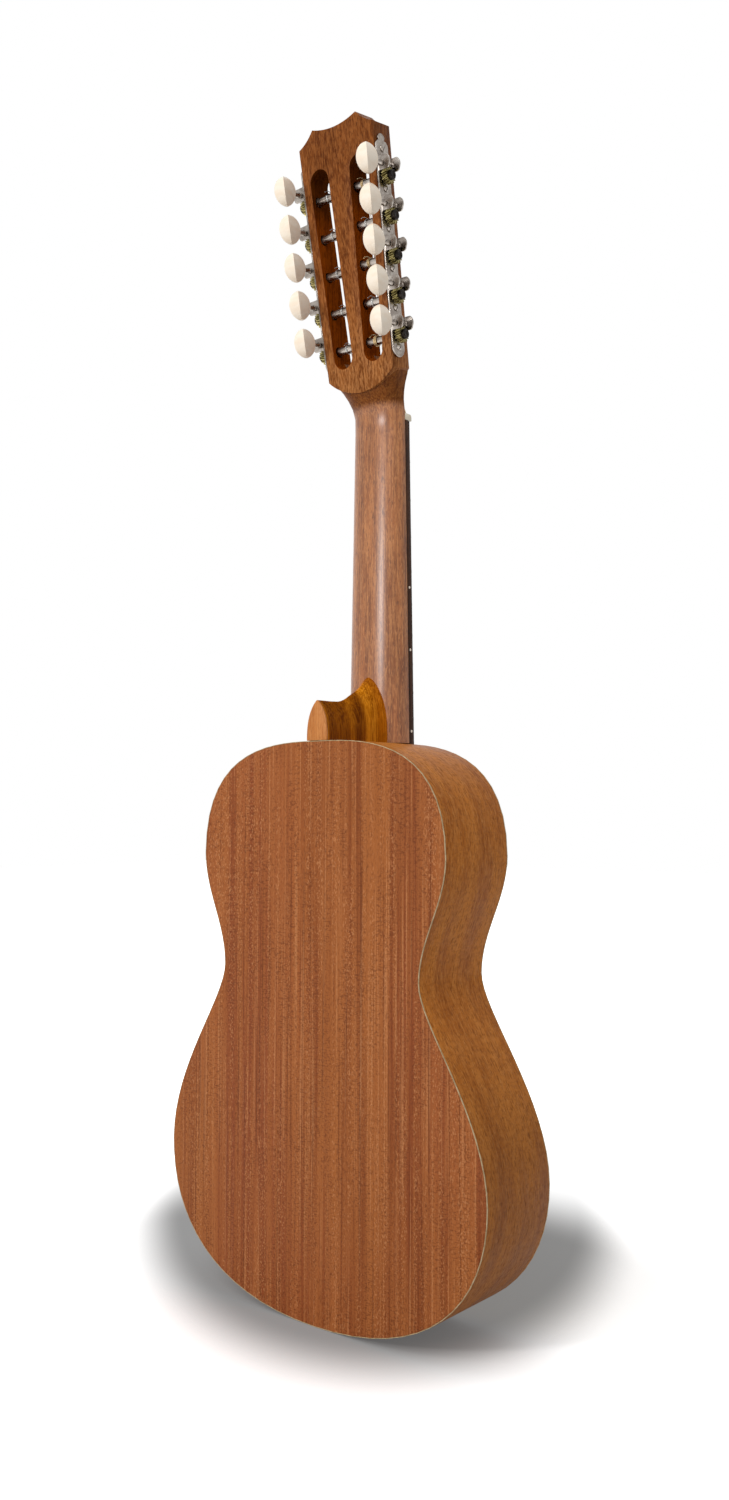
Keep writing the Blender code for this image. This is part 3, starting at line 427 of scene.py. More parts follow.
# %% Pieces and cuts
def closed(name, skin):
    """Puts a closed bmesh in the scene, with its faces outward."""
    face_outward(skin)
    return in_scene(name, mesh_from(name, skin))


def declare(piece, slot, replaced=(), body="instrument"):
    """Hangs a piece on the body it rides on, and hides the solids it stands for. The slot is not used."""
    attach(piece, body)
    if replaced:
        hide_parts(*replaced)
    return piece


def solid(name, skin, finish, slot, replaced=(), body="instrument", smooth=40.0):
    piece = closed(name, skin)
    piece.data.materials.append(finish.material)
    piece.data.shade_smooth()
    piece.data.set_sharp_from_angle(angle=math.radians(smooth))
    return declare(piece, slot, replaced, body)


def modify(piece, kind, **settings):
    step = piece.modifiers.new(kind.lower(), kind)
    for setting, value in settings.items():
        setattr(step, setting, value)
    return step


def cut(skin, *tools):
    """Takes the tools' shapes out of a closed bmesh, and gives back what is left."""
    piece, *cutters = [closed("cut", shape) for shape in (skin, *tools)]
    for cutter in cutters:
        modify(piece, "BOOLEAN", operation="DIFFERENCE", solver="EXACT", object=cutter)
    carved = drawn(piece)
    for cutter in cutters:
        bpy.data.objects.remove(cutter)
    left = bmesh.new()
    left.from_mesh(carved)
    return left


def drawn(piece):
    """The mesh that an object's curve or modifiers come to. The object itself goes."""
    bpy.context.view_layer.update()
    graph = bpy.context.evaluated_depsgraph_get()
    mesh = bpy.data.meshes.new_from_object(piece.evaluated_get(graph))
    bpy.data.objects.remove(piece)
    return mesh


# %% [markdown]
# ## Body outline
# A waisted outline of eight Bezier points: tail, lower bout, waist, upper bout and neck end, and the
# same on the other side. The solids use the same points with fewer steps between them, so the finer
# pieces made here lie exactly on the solids.
# Many traced points would follow a photograph's every wobble. Few points with handles stay smooth.

# %% Outline wire
BODY_LENGTH = 0.4059
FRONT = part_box("soundboard")[0].y
BACK_TAIL, BACK_NECK = 0.0754, 0.0731
HALF_OUTLINE = (
    # place, handle before, handle after, as (across, up)
    ((0.0, 0.0), (-0.0997, 0.0), (0.0997, 0.0)),
    ((0.1443, 0.1071), (0.1443, 0.0468), (0.1443, 0.1629)),
    ((0.0902, 0.2428), (0.0902, 0.2168), (0.0902, 0.2717)),
    ((0.1121, 0.3251), (0.1121, 0.2957), (0.1121, 0.4091)),
    ((0.0, BODY_LENGTH), (0.0340, BODY_LENGTH), (-0.0340, BODY_LENGTH)),
)
OUTLINE_STEPS = 16


def back_y(z):
    return FRONT + BACK_TAIL + (BACK_NECK - BACK_TAIL) * z / BODY_LENGTH


def front_y(z):
    return FRONT


def outline_wire():
    curve = bpy.data.curves.new("outline", "CURVE")
    curve.dimensions = "3D"
    curve.resolution_u = OUTLINE_STEPS
    line = curve.splines.new("BEZIER")
    mirrored = [tuple((-x, z) for x, z in (spot, after, before))
                for spot, before, after in HALF_OUTLINE[3:0:-1]]
    whole = list(HALF_OUTLINE) + mirrored
    line.bezier_points.add(len(whole) - 1)
    line.use_cyclic_u = True
    for point, (spot, before, after) in zip(line.bezier_points, whole):
        point.co = (spot[0], 0, spot[1])
        point.handle_left = (before[0], 0, before[1])
        point.handle_right = (after[0], 0, after[1])
    skin = bmesh.new()
    skin.from_mesh(drawn(in_scene("outline", curve)))
    bmesh.ops.remove_doubles(skin, verts=skin.verts, dist=1e-7)
    return skin


def outline_face(inset, edge=False):
    """The outline filled with one face and drawn in by inset, or else the edge left outside that."""
    skin = outline_wire()
    bmesh.ops.edgeloop_fill(skin, edges=skin.edges)
    ring = inset_ring(skin, inset)
    inner = [face for face in skin.faces if face not in ring]
    bmesh.ops.delete(skin, geom=inner if edge else ring, context="FACES")
    return skin


def inset_ring(skin, width):
    return bmesh.ops.inset_region(skin, faces=skin.faces[:], thickness=width, use_boundary=True,
                                  use_even_offset=True)["faces"]


def lay_on(skin, surface, sign):
    """Depth was drawn from zero; the pieces follow the front or the back of the body."""
    for vert in skin.verts:
        vert.co.y = surface(vert.co.z) + sign * vert.co.y


wire = outline_wire()
print("outline points", len(wire.verts), "length", round(sum(edge.calc_length() for edge in wire.edges), 3))
wire.free()

# %% [markdown]
# ## Wood
# The back is quarter-sawn ribbon-striped wood: soft light and dark bands a few millimetres wide that
# run up the body, thin grain lines, and short level flecks where the grain leans in and out. All of
# it is noise stretched along the grain, so it stays sharp at any distance and needs no picture.
# A picture of wood is quicker to put on, but it blurs close up and repeats.

# %% Back wood
back_wood = Finish("ribbon wood", specular_ior_level=0.12)


def bands(finish, across, along, low, high, detail=2.0, source="Object", seed=0.0):
    """Noise stretched along the grain; across and along are sizes in metres."""
    if source == "Object":
        where = finish.place((1 / across, 1 / across, 1 / along), source=source)
    else:
        where = finish.place((1 / along, 1 / across, 1), source=source)
    moved = finish.vectors("ADD", where, (seed, seed * 1.7, seed * 0.6))
    return finish.between(finish.noise(moved, detail), low, high)


wide = bands(back_wood, 0.012, 0.60, 0.36, 0.64)
ribbon = bands(back_wood, 0.0034, 0.25, 0.38, 0.62, seed=3.0)
dark_line = bands(back_wood, 0.0016, 0.40, 0.58, 0.70, seed=7.0)
pale_line = bands(back_wood, 0.0016, 0.26, 0.56, 0.70, seed=11.0)
fleck = bands(back_wood, 0.0028, 0.0010, 0.50, 0.64, detail=1.0, seed=5.0)
pale_fleck = bands(back_wood, 0.0010, 0.0018, 0.52, 0.66, detail=1.0, seed=9.0)
pore = bands(back_wood, 0.0006, 0.0026, 0.54, 0.66, detail=1.0, seed=2.0)
where_flecks = bands(back_wood, 0.0080, 0.070, 0.34, 0.60, seed=13.0)
where_pale = bands(back_wood, 0.0050, 0.25, 0.40, 0.62, seed=19.0)
reddish = bands(back_wood, 0.090, 0.30, 0.35, 0.65, seed=17.0)
back_wood.feed("Base Color", layered(
    back_wood, back_wood.mix(wide, shade(122, 60, 22), shade(156, 90, 42)),
    (reddish * 0.40, shade(150, 78, 44)),
    (ribbon * 0.50, shade(162, 96, 50)),
    (dark_line * 0.60, shade(92, 42, 14)),
    (pale_line * 0.50, shade(192, 128, 80)),
    (fleck * where_flecks * 0.50, shade(96, 44, 16)),
    (pale_fleck * where_pale * 0.55, shade(196, 132, 84)),
    (pore * 0.40, shade(82, 36, 14))))
back_wood.feed("Roughness", 0.44 + ribbon * 0.08 + pore * 0.1)
back_wood.bump(1 - pore * 0.6 - dark_line * 0.3, 0.25, 0.0002)
print("nodes in the back's finish", len(back_wood.tree.nodes))

# %% [markdown]
# ## Rib wood
# The ribs are the same sort of wood, browner, and bent: their grain follows the outline. They get a
# UV map measured in metres along the bend, and the pattern reads that.
# Object coordinates would be simpler, but the grain would then run straight through the bend.

# %% Rib wood
rib_wood = Finish("bent rib wood", specular_ior_level=0.06)
broad = bands(rib_wood, 0.016, 0.10, 0.34, 0.66, source="grain")
streak = bands(rib_wood, 0.0022, 0.016, 0.40, 0.66, source="grain", seed=4.0)
dash = bands(rib_wood, 0.0010, 0.0050, 0.54, 0.66, detail=1.0, source="grain", seed=8.0)
pale_dash = bands(rib_wood, 0.0010, 0.0060, 0.54, 0.68, detail=1.0, source="grain", seed=15.0)
cross = bands(rib_wood, 0.0036, 0.0016, 0.46, 0.64, detail=1.0, source="grain", seed=6.0)
rib_tone = layered(
    rib_wood, rib_wood.mix(broad, shade(142, 80, 20), shade(170, 105, 40)),
    (streak * 0.40, shade(172, 112, 54)),
    (cross * 0.22, shade(98, 50, 10)),
    (dash * 0.50, shade(92, 45, 8)),
    (pale_dash * 0.30, shade(190, 132, 72)))
# Painted light and shade: the ribs are painted lighter toward the top of the body and darker toward the bottom.
height = rib_wood.along(2)
rib_tone = rib_wood.mix(rib_wood.between(height, 0.12, 0.22), rib_tone, (1.25, 1.20, 1.10, 1.0), "MULTIPLY")
rib_tone = rib_wood.mix(rib_wood.between(height, 0.20, 0.12), rib_tone, (0.88, 0.84, 0.80, 1.0), "MULTIPLY")
rib_wood.feed("Base Color", rib_tone)
rib_wood.feed("Roughness", 0.38 + broad * 0.08 + dash * 0.12)
rib_wood.bump(1 - dash * 0.6 + streak * 0.2, 0.2, 0.0002)
print("nodes in the ribs' finish", len(rib_wood.tree.nodes))

# %% [markdown]
# ## Neck wood
# The neck and head are one straight-grained piece with open pores, short dark dashes along the
# grain, under a thin satin lacquer that ends where the neck widens into the head. The heel is a more
# golden piece of its own. A zone multiplies the tone along an axis, as painted light and shade: the
# head is painted lighter toward its foot and darker toward the crown, the neck darker where it widens
# into the head, the slot walls darker toward the crown, and the heel in bright and dark bands across
# its depth, brightest where it flares out to the neck.
# Separate materials could do that, but their borders would show as lines.

# %% Neck and heel wood
NUT_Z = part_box("nut")[0].z
THROAT = (NUT_Z + 0.007, NUT_Z + 0.014)
UP, DEEP = 2, 1


def pored_wood(name, dark, base, light, pore_shade, busy=1.0, painted_light_zones=(), **fixed):
    finish = Finish(name, **fixed)
    soft = bands(finish, 0.0060, 0.12, 0.36, 0.64, seed=1.0)
    fine = bands(finish, 0.0012, 0.030, 0.40, 0.62, seed=5.0)
    dash = bands(finish, 0.0007, 0.0052, 0.54, 0.68, detail=2.0, seed=9.0)
    speck = bands(finish, 0.0016, 0.0034, 0.48, 0.70, detail=2.0, seed=14.0)
    glint = bands(finish, 0.0010, 0.0042, 0.52, 0.70, detail=2.0, seed=21.0)
    tone = layered(finish, finish.mix(soft, dark, base), (fine * 0.5, light), (speck * 0.40 * busy, dark),
                   (glint * 0.45 * busy, light), (dash * 0.65 * busy, pore_shade))
    # Painted light and shade: each zone multiplies the tone, lighter or darker, along one axis.
    for axis, start, end, light_factors in painted_light_zones:
        tone = finish.mix(finish.between(finish.along(axis), start, end), tone, (*light_factors, 1.0), "MULTIPLY")
    finish.feed("Base Color", tone)
    finish.feed("Roughness", 0.36 + speck * 0.10 + dash * 0.15)
    finish.bump(1 - dash * 0.7, 0.3, 0.0002)
    return finish


# Painted shade: the neck is painted darker where it widens into the head.
neck_wood = pored_wood("neck wood", shade(124, 68, 26), shade(156, 92, 44), shade(196, 132, 78),
                       shade(76, 34, 12), specular_ior_level=0.08, coat_roughness=0.30,
                       painted_light_zones=((UP, *THROAT, (0.56, 0.48, 0.30)),))
neck_wood.feed("Coat Weight", 0.95 - 0.95 * neck_wood.between(neck_wood.along(UP), *THROAT))
# Painted light and shade: the head is painted lighter toward its foot and darker toward the crown.
head_wood = pored_wood("head wood", shade(98, 48, 14), shade(128, 70, 28), shade(172, 108, 56),
                       shade(60, 26, 6), busy=0.8, specular_ior_level=0.04,
                       painted_light_zones=((UP, 0.76, 0.67, (1.40, 1.65, 2.05)), (UP, 0.76, 0.86, (0.80, 0.77, 0.72))))
# Painted shade: the slot walls are painted darker toward the crown.
slot_wood = pored_wood("slot wall wood", shade(108, 45, 4), shade(138, 62, 8), shade(162, 80, 14),
                       shade(72, 28, 2), specular_ior_level=0.0,
                       painted_light_zones=((UP, 0.792, 0.815, (0.45, 0.50, 0.80)),))
# Painted light and shade: bands across the heel's depth are painted bright and dark, brightest where it flares
# out to the neck.
heel_wood = pored_wood("heel wood", shade(98, 44, 0), shade(128, 66, 2), shade(166, 96, 14),
                       shade(72, 30, 0), busy=0.45, specular_ior_level=0.02,
                       painted_light_zones=((DEEP, FRONT + 0.033, FRONT + 0.028, (2.4, 3.0, 5.0)),
                              (DEEP, FRONT + 0.024, FRONT + 0.018, (0.66, 0.56, 0.45)),
                              (DEEP, FRONT + 0.039, FRONT + 0.043, (1.50, 1.70, 2.20)),
                              (DEEP, FRONT + 0.045, FRONT + 0.049, (0.67, 0.59, 0.45)),
                              (DEEP, FRONT + 0.069, FRONT + 0.071, (1.60, 1.80, 2.50))))
cap_wood = pored_wood("heel cap wood", shade(170, 100, 46), shade(192, 122, 64), shade(206, 142, 84),
                      shade(136, 74, 30), busy=0.7, specular_ior_level=0.10)
print("the lacquer ends between", [round(z, 4) for z in THROAT])

# %% [markdown]
# ## Back, soundboard and edging
# A plate is the filled outline, drawn in by the width of the edging and given its thickness. The
# edging is the ring outside it. The back has no arch to speak of, and its edges are only eased.
# Both could be modelled apart. Made from one outline and one inset, they are sure to meet.

# %% Back and its edging
EDGING_WIDTH, EDGING_HEIGHT = 0.5 * MM, 0.9 * MM
PLATE, HAIR = 2.6 * MM, 0.05 * MM
binding = Finish("pale edging", roughness=0.45, specular_ior_level=0.2)
edging_line = bands(binding, 0.004, 0.004, 0.3, 0.7)
binding.feed("Base Color", binding.mix(edging_line, shade(160, 134, 96), shade(192, 168, 130)))


def plate(name, surface, sign, finish, slot, replaced):
    skin = thicken(outline_face(EDGING_WIDTH + HAIR), 0.0, PLATE)
    round_edges(skin, 0.15 * MM, 1)
    lay_on(skin, surface, sign)
    return solid(name, skin, finish, slot, (replaced,))


def edging(name, surface, sign, replaced):
    skin = thicken(outline_face(EDGING_WIDTH, edge=True), 0.0, EDGING_HEIGHT)
    round_edges(skin, 0.12 * MM, 2)
    lay_on(skin, surface, sign)
    return solid(name, skin, binding, "binding", (replaced,))


plate("back_plate", back_y, -1, back_wood, "back_wood", "back")
edging("back_edging", back_y, -1, "back_binding")
edging("front_edging", front_y, 1, "front_binding")
print("plate", PLATE, "edging", EDGING_WIDTH, "by", EDGING_HEIGHT)

# %% [markdown]
# ## Ribs
# Half of the outline's wire is extruded from front to back into a strip, and a Solidify modifier
# gives it its wall. Weighted normals keep the strip's shading flat up to its thin edges. Each corner
# of each face gets its distance along the bend.
# A rib could be cut out of a block. A thin strip with a wall is what a maker bends, and only a strip
# gives the grain a length to follow.

# %% Ribs
WALL = 2.2 * MM
RIB_END = 10.3 * MM         # the ribs stop at the heel


def rib(name, hand, replaced):
    skin = outline_wire()
    wrong_side = [vert for vert in skin.verts if hand * vert.co.x < -1e-5]
    bmesh.ops.delete(skin, geom=wrong_side, context="VERTS")
    last = max(skin.verts, key=lambda vert: vert.co.z)
    near = last.link_edges[0].other_vert(last)
    share = (RIB_END - abs(near.co.x)) / (abs(last.co.x) - abs(near.co.x))
    last.co = near.co.lerp(last.co, share)
    layer = skin.verts.layers.float.new("along")
    skin.verts.ensure_lookup_table()
    here = min(skin.verts, key=lambda vert: vert.co.z)
    before, distance = None, 0.0
    while here:
        here[layer] = distance
        onward = [edge for edge in here.link_edges if edge is not before]
        if not onward:
            break
        before = onward[0]
        distance += before.calc_length()
        here = before.other_vert(here)
    grown = bmesh.ops.extrude_edge_only(skin, edges=skin.edges[:])
    far = {part for part in grown["geom"] if isinstance(part, bmesh.types.BMVert)}
    for vert in skin.verts:
        vert.co.y = back_y(vert.co.z) - EDGING_HEIGHT - HAIR if vert in far else FRONT + EDGING_HEIGHT + HAIR
    chart = skin.loops.layers.uv.new("grain")
    for face in skin.faces:
        for corner in face.loops:
            corner[chart].uv = (corner.vert[layer] + 2.0 * hand, corner.vert.co.y)
    bmesh.ops.recalc_face_normals(skin, faces=skin.faces)
    skin.normal_update()
    widest = max(skin.faces, key=lambda face: hand * face.calc_center_median().x)
    if widest.normal.x * hand < 0:
        bmesh.ops.reverse_faces(skin, faces=skin.faces)
    piece = in_scene(name, mesh_from(name, skin))
    piece.data.materials.append(rib_wood.material)
    piece.data.shade_smooth()
    modify(piece, "SOLIDIFY", thickness=WALL, offset=-1.0)
    modify(piece, "WEIGHTED_NORMAL", weight=100)
    declare(piece, "back_wood", (replaced,))
    print(name, "bend", round(distance, 3))


rib("rib_bass", -1, "side_bass")
rib("rib_treble", 1, "side_treble")

# %% [markdown]
# ## Neck shaft
# A rounded D that deepens from the nut to the heel, and then widens into the head. One ring of
# points is extruded from section to section, and each ring is set to its own half width, depth and
# squareness. The last sections lean back with the head.
# A stretched cylinder has one shape all along. Sections let the neck be measured where it changes.

# %% Neck shaft
BODY_JOIN = BODY_LENGTH + 0.3 * MM
HEAD_TILT = math.radians(9.85)
HEAD = 20.2 * MM
HEAD_BACK = 19.34 * MM
head_frame = Matrix.Translation((0, FRONT + HEAD_BACK, NUT_Z)) @ Matrix.Rotation(-HEAD_TILT, 4, "X")
NUT_HALF, JOIN_HALF = 22.75 * MM, 26.6 * MM
JOIN_DEPTH, NUT_DEPTH = 16.8, 12.0
FRONT_STEP = 0.15 * MM              # the neck's front lies this far behind the head's


def neck_half(z):
    return JOIN_HALF + (NUT_HALF - JOIN_HALF) * (z - BODY_LENGTH) / (NUT_Z - BODY_LENGTH)


def loft(skin, sections, count):
    """Extrudes a circle of count points through sections; each gives a point its place by its turn."""
    label = skin.verts.layers.float.new("turn")
    first = bmesh.ops.create_circle(skin, segments=count, radius=1.0)["verts"]
    for vert in first:
        vert[label] = math.atan2(vert.co.y, vert.co.x) % math.tau
    ring = first
    for index, section in enumerate(sections):
        if index:
            edges = [edge for edge in skin.edges if edge.verts[0] in ring and edge.verts[1] in ring]
            grown = bmesh.ops.extrude_edge_only(skin, edges=edges)
            ring = [part for part in grown["geom"] if isinstance(part, bmesh.types.BMVert)]
        ring = set(ring)
        for vert in ring:
            vert.co = section(vert[label])
    for end in (first, list(ring)):
        loop = [edge for edge in skin.edges
                if edge.verts[0] in end and edge.verts[1] in end and edge.is_boundary]
        bmesh.ops.edgeloop_fill(skin, edges=loop)
    return skin


def neck_section(origin, tilt, half, depth, square):
    back = Vector((0, math.cos(tilt), -math.sin(tilt)))

    def section(turn):
        side = math.copysign(abs(math.cos(turn)) ** (2 / square), math.cos(turn))
        deep = max(0.0, math.sin(turn)) ** (2 / square)
        return Vector(origin) + Vector((half * side, 0, 0)) + back * (depth * deep)
    return section


def head_section(v, half, depth, square):
    origin = head_frame @ Vector((0, -HEAD + FRONT_STEP, v))
    return neck_section(origin, HEAD_TILT, half, depth, square)


straight = NUT_Z - 6 * MM
crease = NUT_Z + (HEAD / math.cos(HEAD_TILT) - HEAD_BACK) / math.tan(HEAD_TILT)
sections = []
for share in (0.0, 0.02, 0.25, 0.5, 0.75, 0.98, 1.0):
    z = BODY_JOIN + (straight - BODY_JOIN) * share
    depth = (JOIN_DEPTH + (NUT_DEPTH - JOIN_DEPTH) * share) * MM
    sections.append(neck_section((0, FRONT, z), 0.0, neck_half(z), depth, 2.2))
sections.append(neck_section((0, FRONT, crease), HEAD_TILT / 2, NUT_HALF, 12.7 * MM, 2.2))
for v, half, depth, square in ((11.0, 23.0, 14.4, 2.3), (17.0, 24.1, 17.0, 2.6), (23.0, 26.0, 19.0, 3.2),
                               (29.0, 28.8, 19.8, 4.5), (34.0, 30.4, 19.9, 8.0)):
    sections.append(head_section(v * MM, half * MM, depth * MM, square))
neck_block = loft(bmesh.new(), sections, 48)

# %% [markdown]
# ## Where the machines sit
# Each machine has two joints in the record: its roller winds about an axis out of the head's side,
# and its worm turns about one square to the head's back. The two axes give a small frame of its own:
# X out of the side, Y to the back, Z to the crown. The bass side's is a mirror image.
# Ten places typed in by hand would do, but pieces built on the joints' own axes can't turn askew.

# %% Machine frames
joints = {joint["name"]: joint for joint in frame["joints"]}
machines = {}
for side in ("bass", "treble"):
    for number in range(1, 6):
        wind = joints["wind_%s_%d" % (side, number)]
        out = Vector(wind["axis"]).normalized()
        back = Vector(joints["turn_%s_%d" % (side, number)]["axis"]).normalized()
        up = out.cross(back)
        if up.z < 0:
            up = -up
        matrix = Matrix((out, back, up)).transposed().to_4x4()
        matrix.translation = wind["pos_m"]
        machines[side, number] = matrix
ROLLER_PITCH = (machines["bass", 2].translation - machines["bass", 1].translation).length
WORM_OUT, WORM_RISE = 5.1 * MM, 7.6 * MM
print("machines", len(machines), "pitch", round(ROLLER_PITCH, 4))


def many(shape, matrices):
    """Copies of one bmesh, each in its place, in one bmesh."""
    face_outward(shape)
    mesh = mesh_from("shape", shape)
    skin = bmesh.new()
    for matrix in matrices:
        before = len(skin.verts)
        skin.from_mesh(mesh)
        skin.verts.ensure_lookup_table()
        bmesh.ops.transform(skin, matrix=matrix, verts=skin.verts[before:])
    return skin


# %% [markdown]
# ## Headstock
# A tilted slab with cut shoulders, a scooped crown and a round foot. The two slots let the strings
# down to the rollers, and a ramp leads from the nut into each slot, through the neck and the slab.
# Outline and slots are drawn with the pen on the head's own plane, the slots, ramps and roller bores
# are cut with Booleans, and the edges are eased with a bevel. Head and neck share one front, and the
# neck's part of it, with the walls of the ramps, has the head's finish.
# Slots could be part of the outline, with a bridge of edges to each. Cutting them is nearer to the saw
# and file, and leaves their round ends true.

# %% Headstock
FOOT = (30.8 * MM, 32.3 * MM)
FOOT_SAG = 12.6 * MM
SHOULDER = (35.2 * MM, 205.2 * MM)
HORN = (20.75 * MM, 215.8 * MM)
SCOOP = 3.8 * MM
SLOT_HALF = 8.8 * MM
SLOT_LOW, SLOT_HIGH = (14.5 * MM, 48.3 * MM), (19.0 * MM, 178.0 * MM)
RAMP_START, RAMP_SLOPE, RAMP_HALF = 17.0 * MM, 0.31, 8.5 * MM
RAMP_MORE = 0.15 * MM               # the neck's ramps are this much wider and deeper
BORE = ((-29.0, 0.0), (-29.0, 4.0), (2.0, 4.0), (2.0, 0.0))
HEAD_FINISH_FROM = -6 * MM          # along the head, from the nut
HEAD_SIDE = 28.4 * MM               # the slots' walls are nearer to the middle than this


def slot_skin(hand):
    lean = math.degrees(math.atan2(SLOT_HIGH[0] - SLOT_LOW[0], SLOT_HIGH[1] - SLOT_LOW[1]))
    out = Vector((math.cos(math.radians(lean)), -math.sin(math.radians(lean))))
    start = Vector(SLOT_HIGH) + out * SLOT_HALF
    pen = Pen(hand * start.x, start.y)
    pen.arc(hand * SLOT_HIGH[0], SLOT_HIGH[1], hand * 180, 16)
    low = Vector(SLOT_LOW) - out * SLOT_HALF
    pen.line(hand * low.x, low.y)
    pen.arc(hand * SLOT_LOW[0], SLOT_LOW[1], hand * 180, 16)
    return pen.plate(-HEAD - 3 * MM, 3 * MM)


def ramp_skin(hand, more=0.0):
    """The slope from the nut down into a slot, drawn from the side. The neck's is a little more."""
    start, end, top = RAMP_START, SLOT_LOW[1], -HEAD - 3 * MM
    pen = Pen(top, start)
    pen.line(-HEAD + more, start).line(-HEAD + more + (end - start) * RAMP_SLOPE, end).line(top, end)
    return from_the_side(pen.plate(SLOT_LOW[0] - RAMP_HALF - more, SLOT_LOW[0] + RAMP_HALF + more), hand)


pen = Pen(-FOOT[0], FOOT[1])
pen.bow(FOOT[0], FOOT[1], -FOOT_SAG, 24)
pen.line(*SHOULDER).bow(*HORN, 1.2 * MM, 8)
pen.bow(-HORN[0], HORN[1], SCOOP, 20)
pen.bow(-SHOULDER[0], SHOULDER[1], 1.2 * MM, 8)
skin = cut(pen.plate(-HEAD, 0.0), slot_skin(-1), ramp_skin(-1), slot_skin(1), ramp_skin(1))
round_edges(skin, 0.7 * MM, 2, sharper=50.0)
set_up(skin, head_frame)
skin = cut(skin, *[set_up(lathe(BORE, 24), matrix) for matrix in machines.values()])
neck_skin = cut(neck_block, *[set_up(ramp_skin(hand, RAMP_MORE), head_frame) for hand in (-1, 1)])
to_head = head_frame.inverted()


def on_head(face):
    """A face's middle and its outward direction, on the head's own axes."""
    return to_head @ face.calc_center_median(), to_head.to_3x3() @ face.normal


for face in neck_skin.faces:
    middle, outward = on_head(face)
    walled = middle.z > RAMP_START and abs(middle.x) < SLOT_LOW[0] + RAMP_HALF + 4 * HAIR
    if middle.z > HEAD_FINISH_FROM and (outward.y < -0.9 or walled and abs(outward.x) > 0.99):
        face.material_index = 1
shaft = solid("neck_shaft", neck_skin, neck_wood, "neck_wood", ("neck",), smooth=50)
shaft.data.materials.append(head_wood.material)
for face in skin.faces:
    middle, outward = on_head(face)
    inside = SLOT_LOW[1] - SLOT_HALF - 2 * MM < middle.z < SLOT_HIGH[1] + SLOT_HALF + 1 * MM
    if inside and abs(middle.x) < HEAD_SIDE and abs(outward.y) < 0.5:
        face.material_index = 1
headstock = solid("headstock", skin, head_wood, "neck_wood")
headstock.data.materials.append(slot_wood.material)
print("bores", len(machines))

# %% [markdown]
# ## Heel
# A separate, more golden block under the neck: a pointed arch that sweeps back to a flat cap, level
# with the back. The same loft runs through it. The arch is rounder at the neck than at the cap.
# It could be carved from a box with sculpting tools. A loft keeps both sides the same.

# %% Heel and its cap
HEEL = ((6.0, 19.0, 51.5), (11.0, 17.6, 50.8), (15.0, 16.0, 49.6), (18.5, 13.4, 47.2), (22.0, 12.0, 43.8),
        (27.0, 11.2, 40.0), (35.0, 10.5, 35.4), (47.0, 9.8, 29.6), (58.0, 9.45, 28.6))
HEEL_POWER = 2.7
CAP, CAP_HALF, CAP_TALL = 1.2 * MM, 9.45 * MM, 28.6 * MM


def heel_section(surface, half, tall, roundness):
    def section(turn):
        if turn > math.pi:
            level = 0.0
            across = math.cos(turn)
        else:
            level = math.sin(math.pi / 2 - abs(math.pi / 2 - turn))
            across = math.copysign((1 - level ** HEEL_POWER) ** (1 / roundness), math.cos(turn))
        z = BODY_JOIN + tall * level
        return Vector((half * across, surface(z), z))
    return section


def smooth_table(rows, steps):
    """Rows joined by smooth curves, by drawing a Bezier path through them."""
    curve = bpy.data.curves.new("rows", "CURVE")
    curve.dimensions = "3D"
    curve.resolution_u = steps
    line = curve.splines.new("BEZIER")
    line.bezier_points.add(len(rows) - 1)
    for point, row in zip(line.bezier_points, rows):
        point.co = row
        point.handle_left_type = point.handle_right_type = "AUTO"
    return [tuple(vert.co) for vert in drawn(in_scene("rows", curve)).vertices]


def at_depth(deep):
    return lambda z: FRONT + deep * MM


sections = [heel_section(at_depth(deep), half * MM, tall * MM, 1.2 + 0.6 * (58 - deep) / 52)
            for deep, half, tall in smooth_table(HEEL, 4)]
cap_back = heel_section(back_y, CAP_HALF, CAP_TALL, 1.2)
cap_front = heel_section(lambda z: back_y(z) - CAP, CAP_HALF, CAP_TALL, 1.2)
skin = loft(bmesh.new(), sections + [cap_front], 48)
solid("heel", skin, heel_wood, "neck_wood", smooth=35)
skin = loft(bmesh.new(), [cap_front, cap_back], 48)
round_edges(skin, 0.3 * MM, 2, sharper=60.0)
solid("heel_cap", skin, cap_wood, "neck_wood", smooth=35)
print("heel sections", len(sections))

# %% [markdown]
# ## Metal and pearl
# The machines are old plated steel with worn brass gears. The plating is clouded: its roughness and
# tone drift over a few millimetres, and small dark specks sit in it. The buttons are pale pearl.
# One even grey would look like paint: it is the drift that says metal.

# %% Metal and pearl finishes
def clouded_metal(name, dark, base, light, speck_shade, rough_low, rough_high):
    finish = Finish(name, metallic=1.0)
    cloud = bands(finish, 0.0070, 0.0070, 0.30, 0.70, detail=2.0)
    drift = bands(finish, 0.0024, 0.0024, 0.40, 0.70, detail=2.0, seed=6.0)
    speck = bands(finish, 0.0010, 0.0010, 0.66, 0.74, detail=2.0, seed=12.0)
    clouded = finish.mix(cloud, dark, base)
    finish.feed("Base Color", layered(finish, clouded, (drift * 0.4, light), (speck * 0.6, speck_shade)))
    finish.feed("Roughness", rough_low + (rough_high - rough_low) * cloud + speck * 0.2)
    finish.bump(drift, 0.05, 0.0001)
    return finish


nickel = clouded_metal("clouded nickel", shade(128, 118, 110), shade(160, 152, 144), shade(188, 182, 174),
                       shade(84, 70, 60), 0.20, 0.36)
brass = clouded_metal("worn brass", shade(104, 94, 54), shade(142, 130, 82), shade(184, 172, 124),
                      shade(60, 48, 26), 0.25, 0.45)
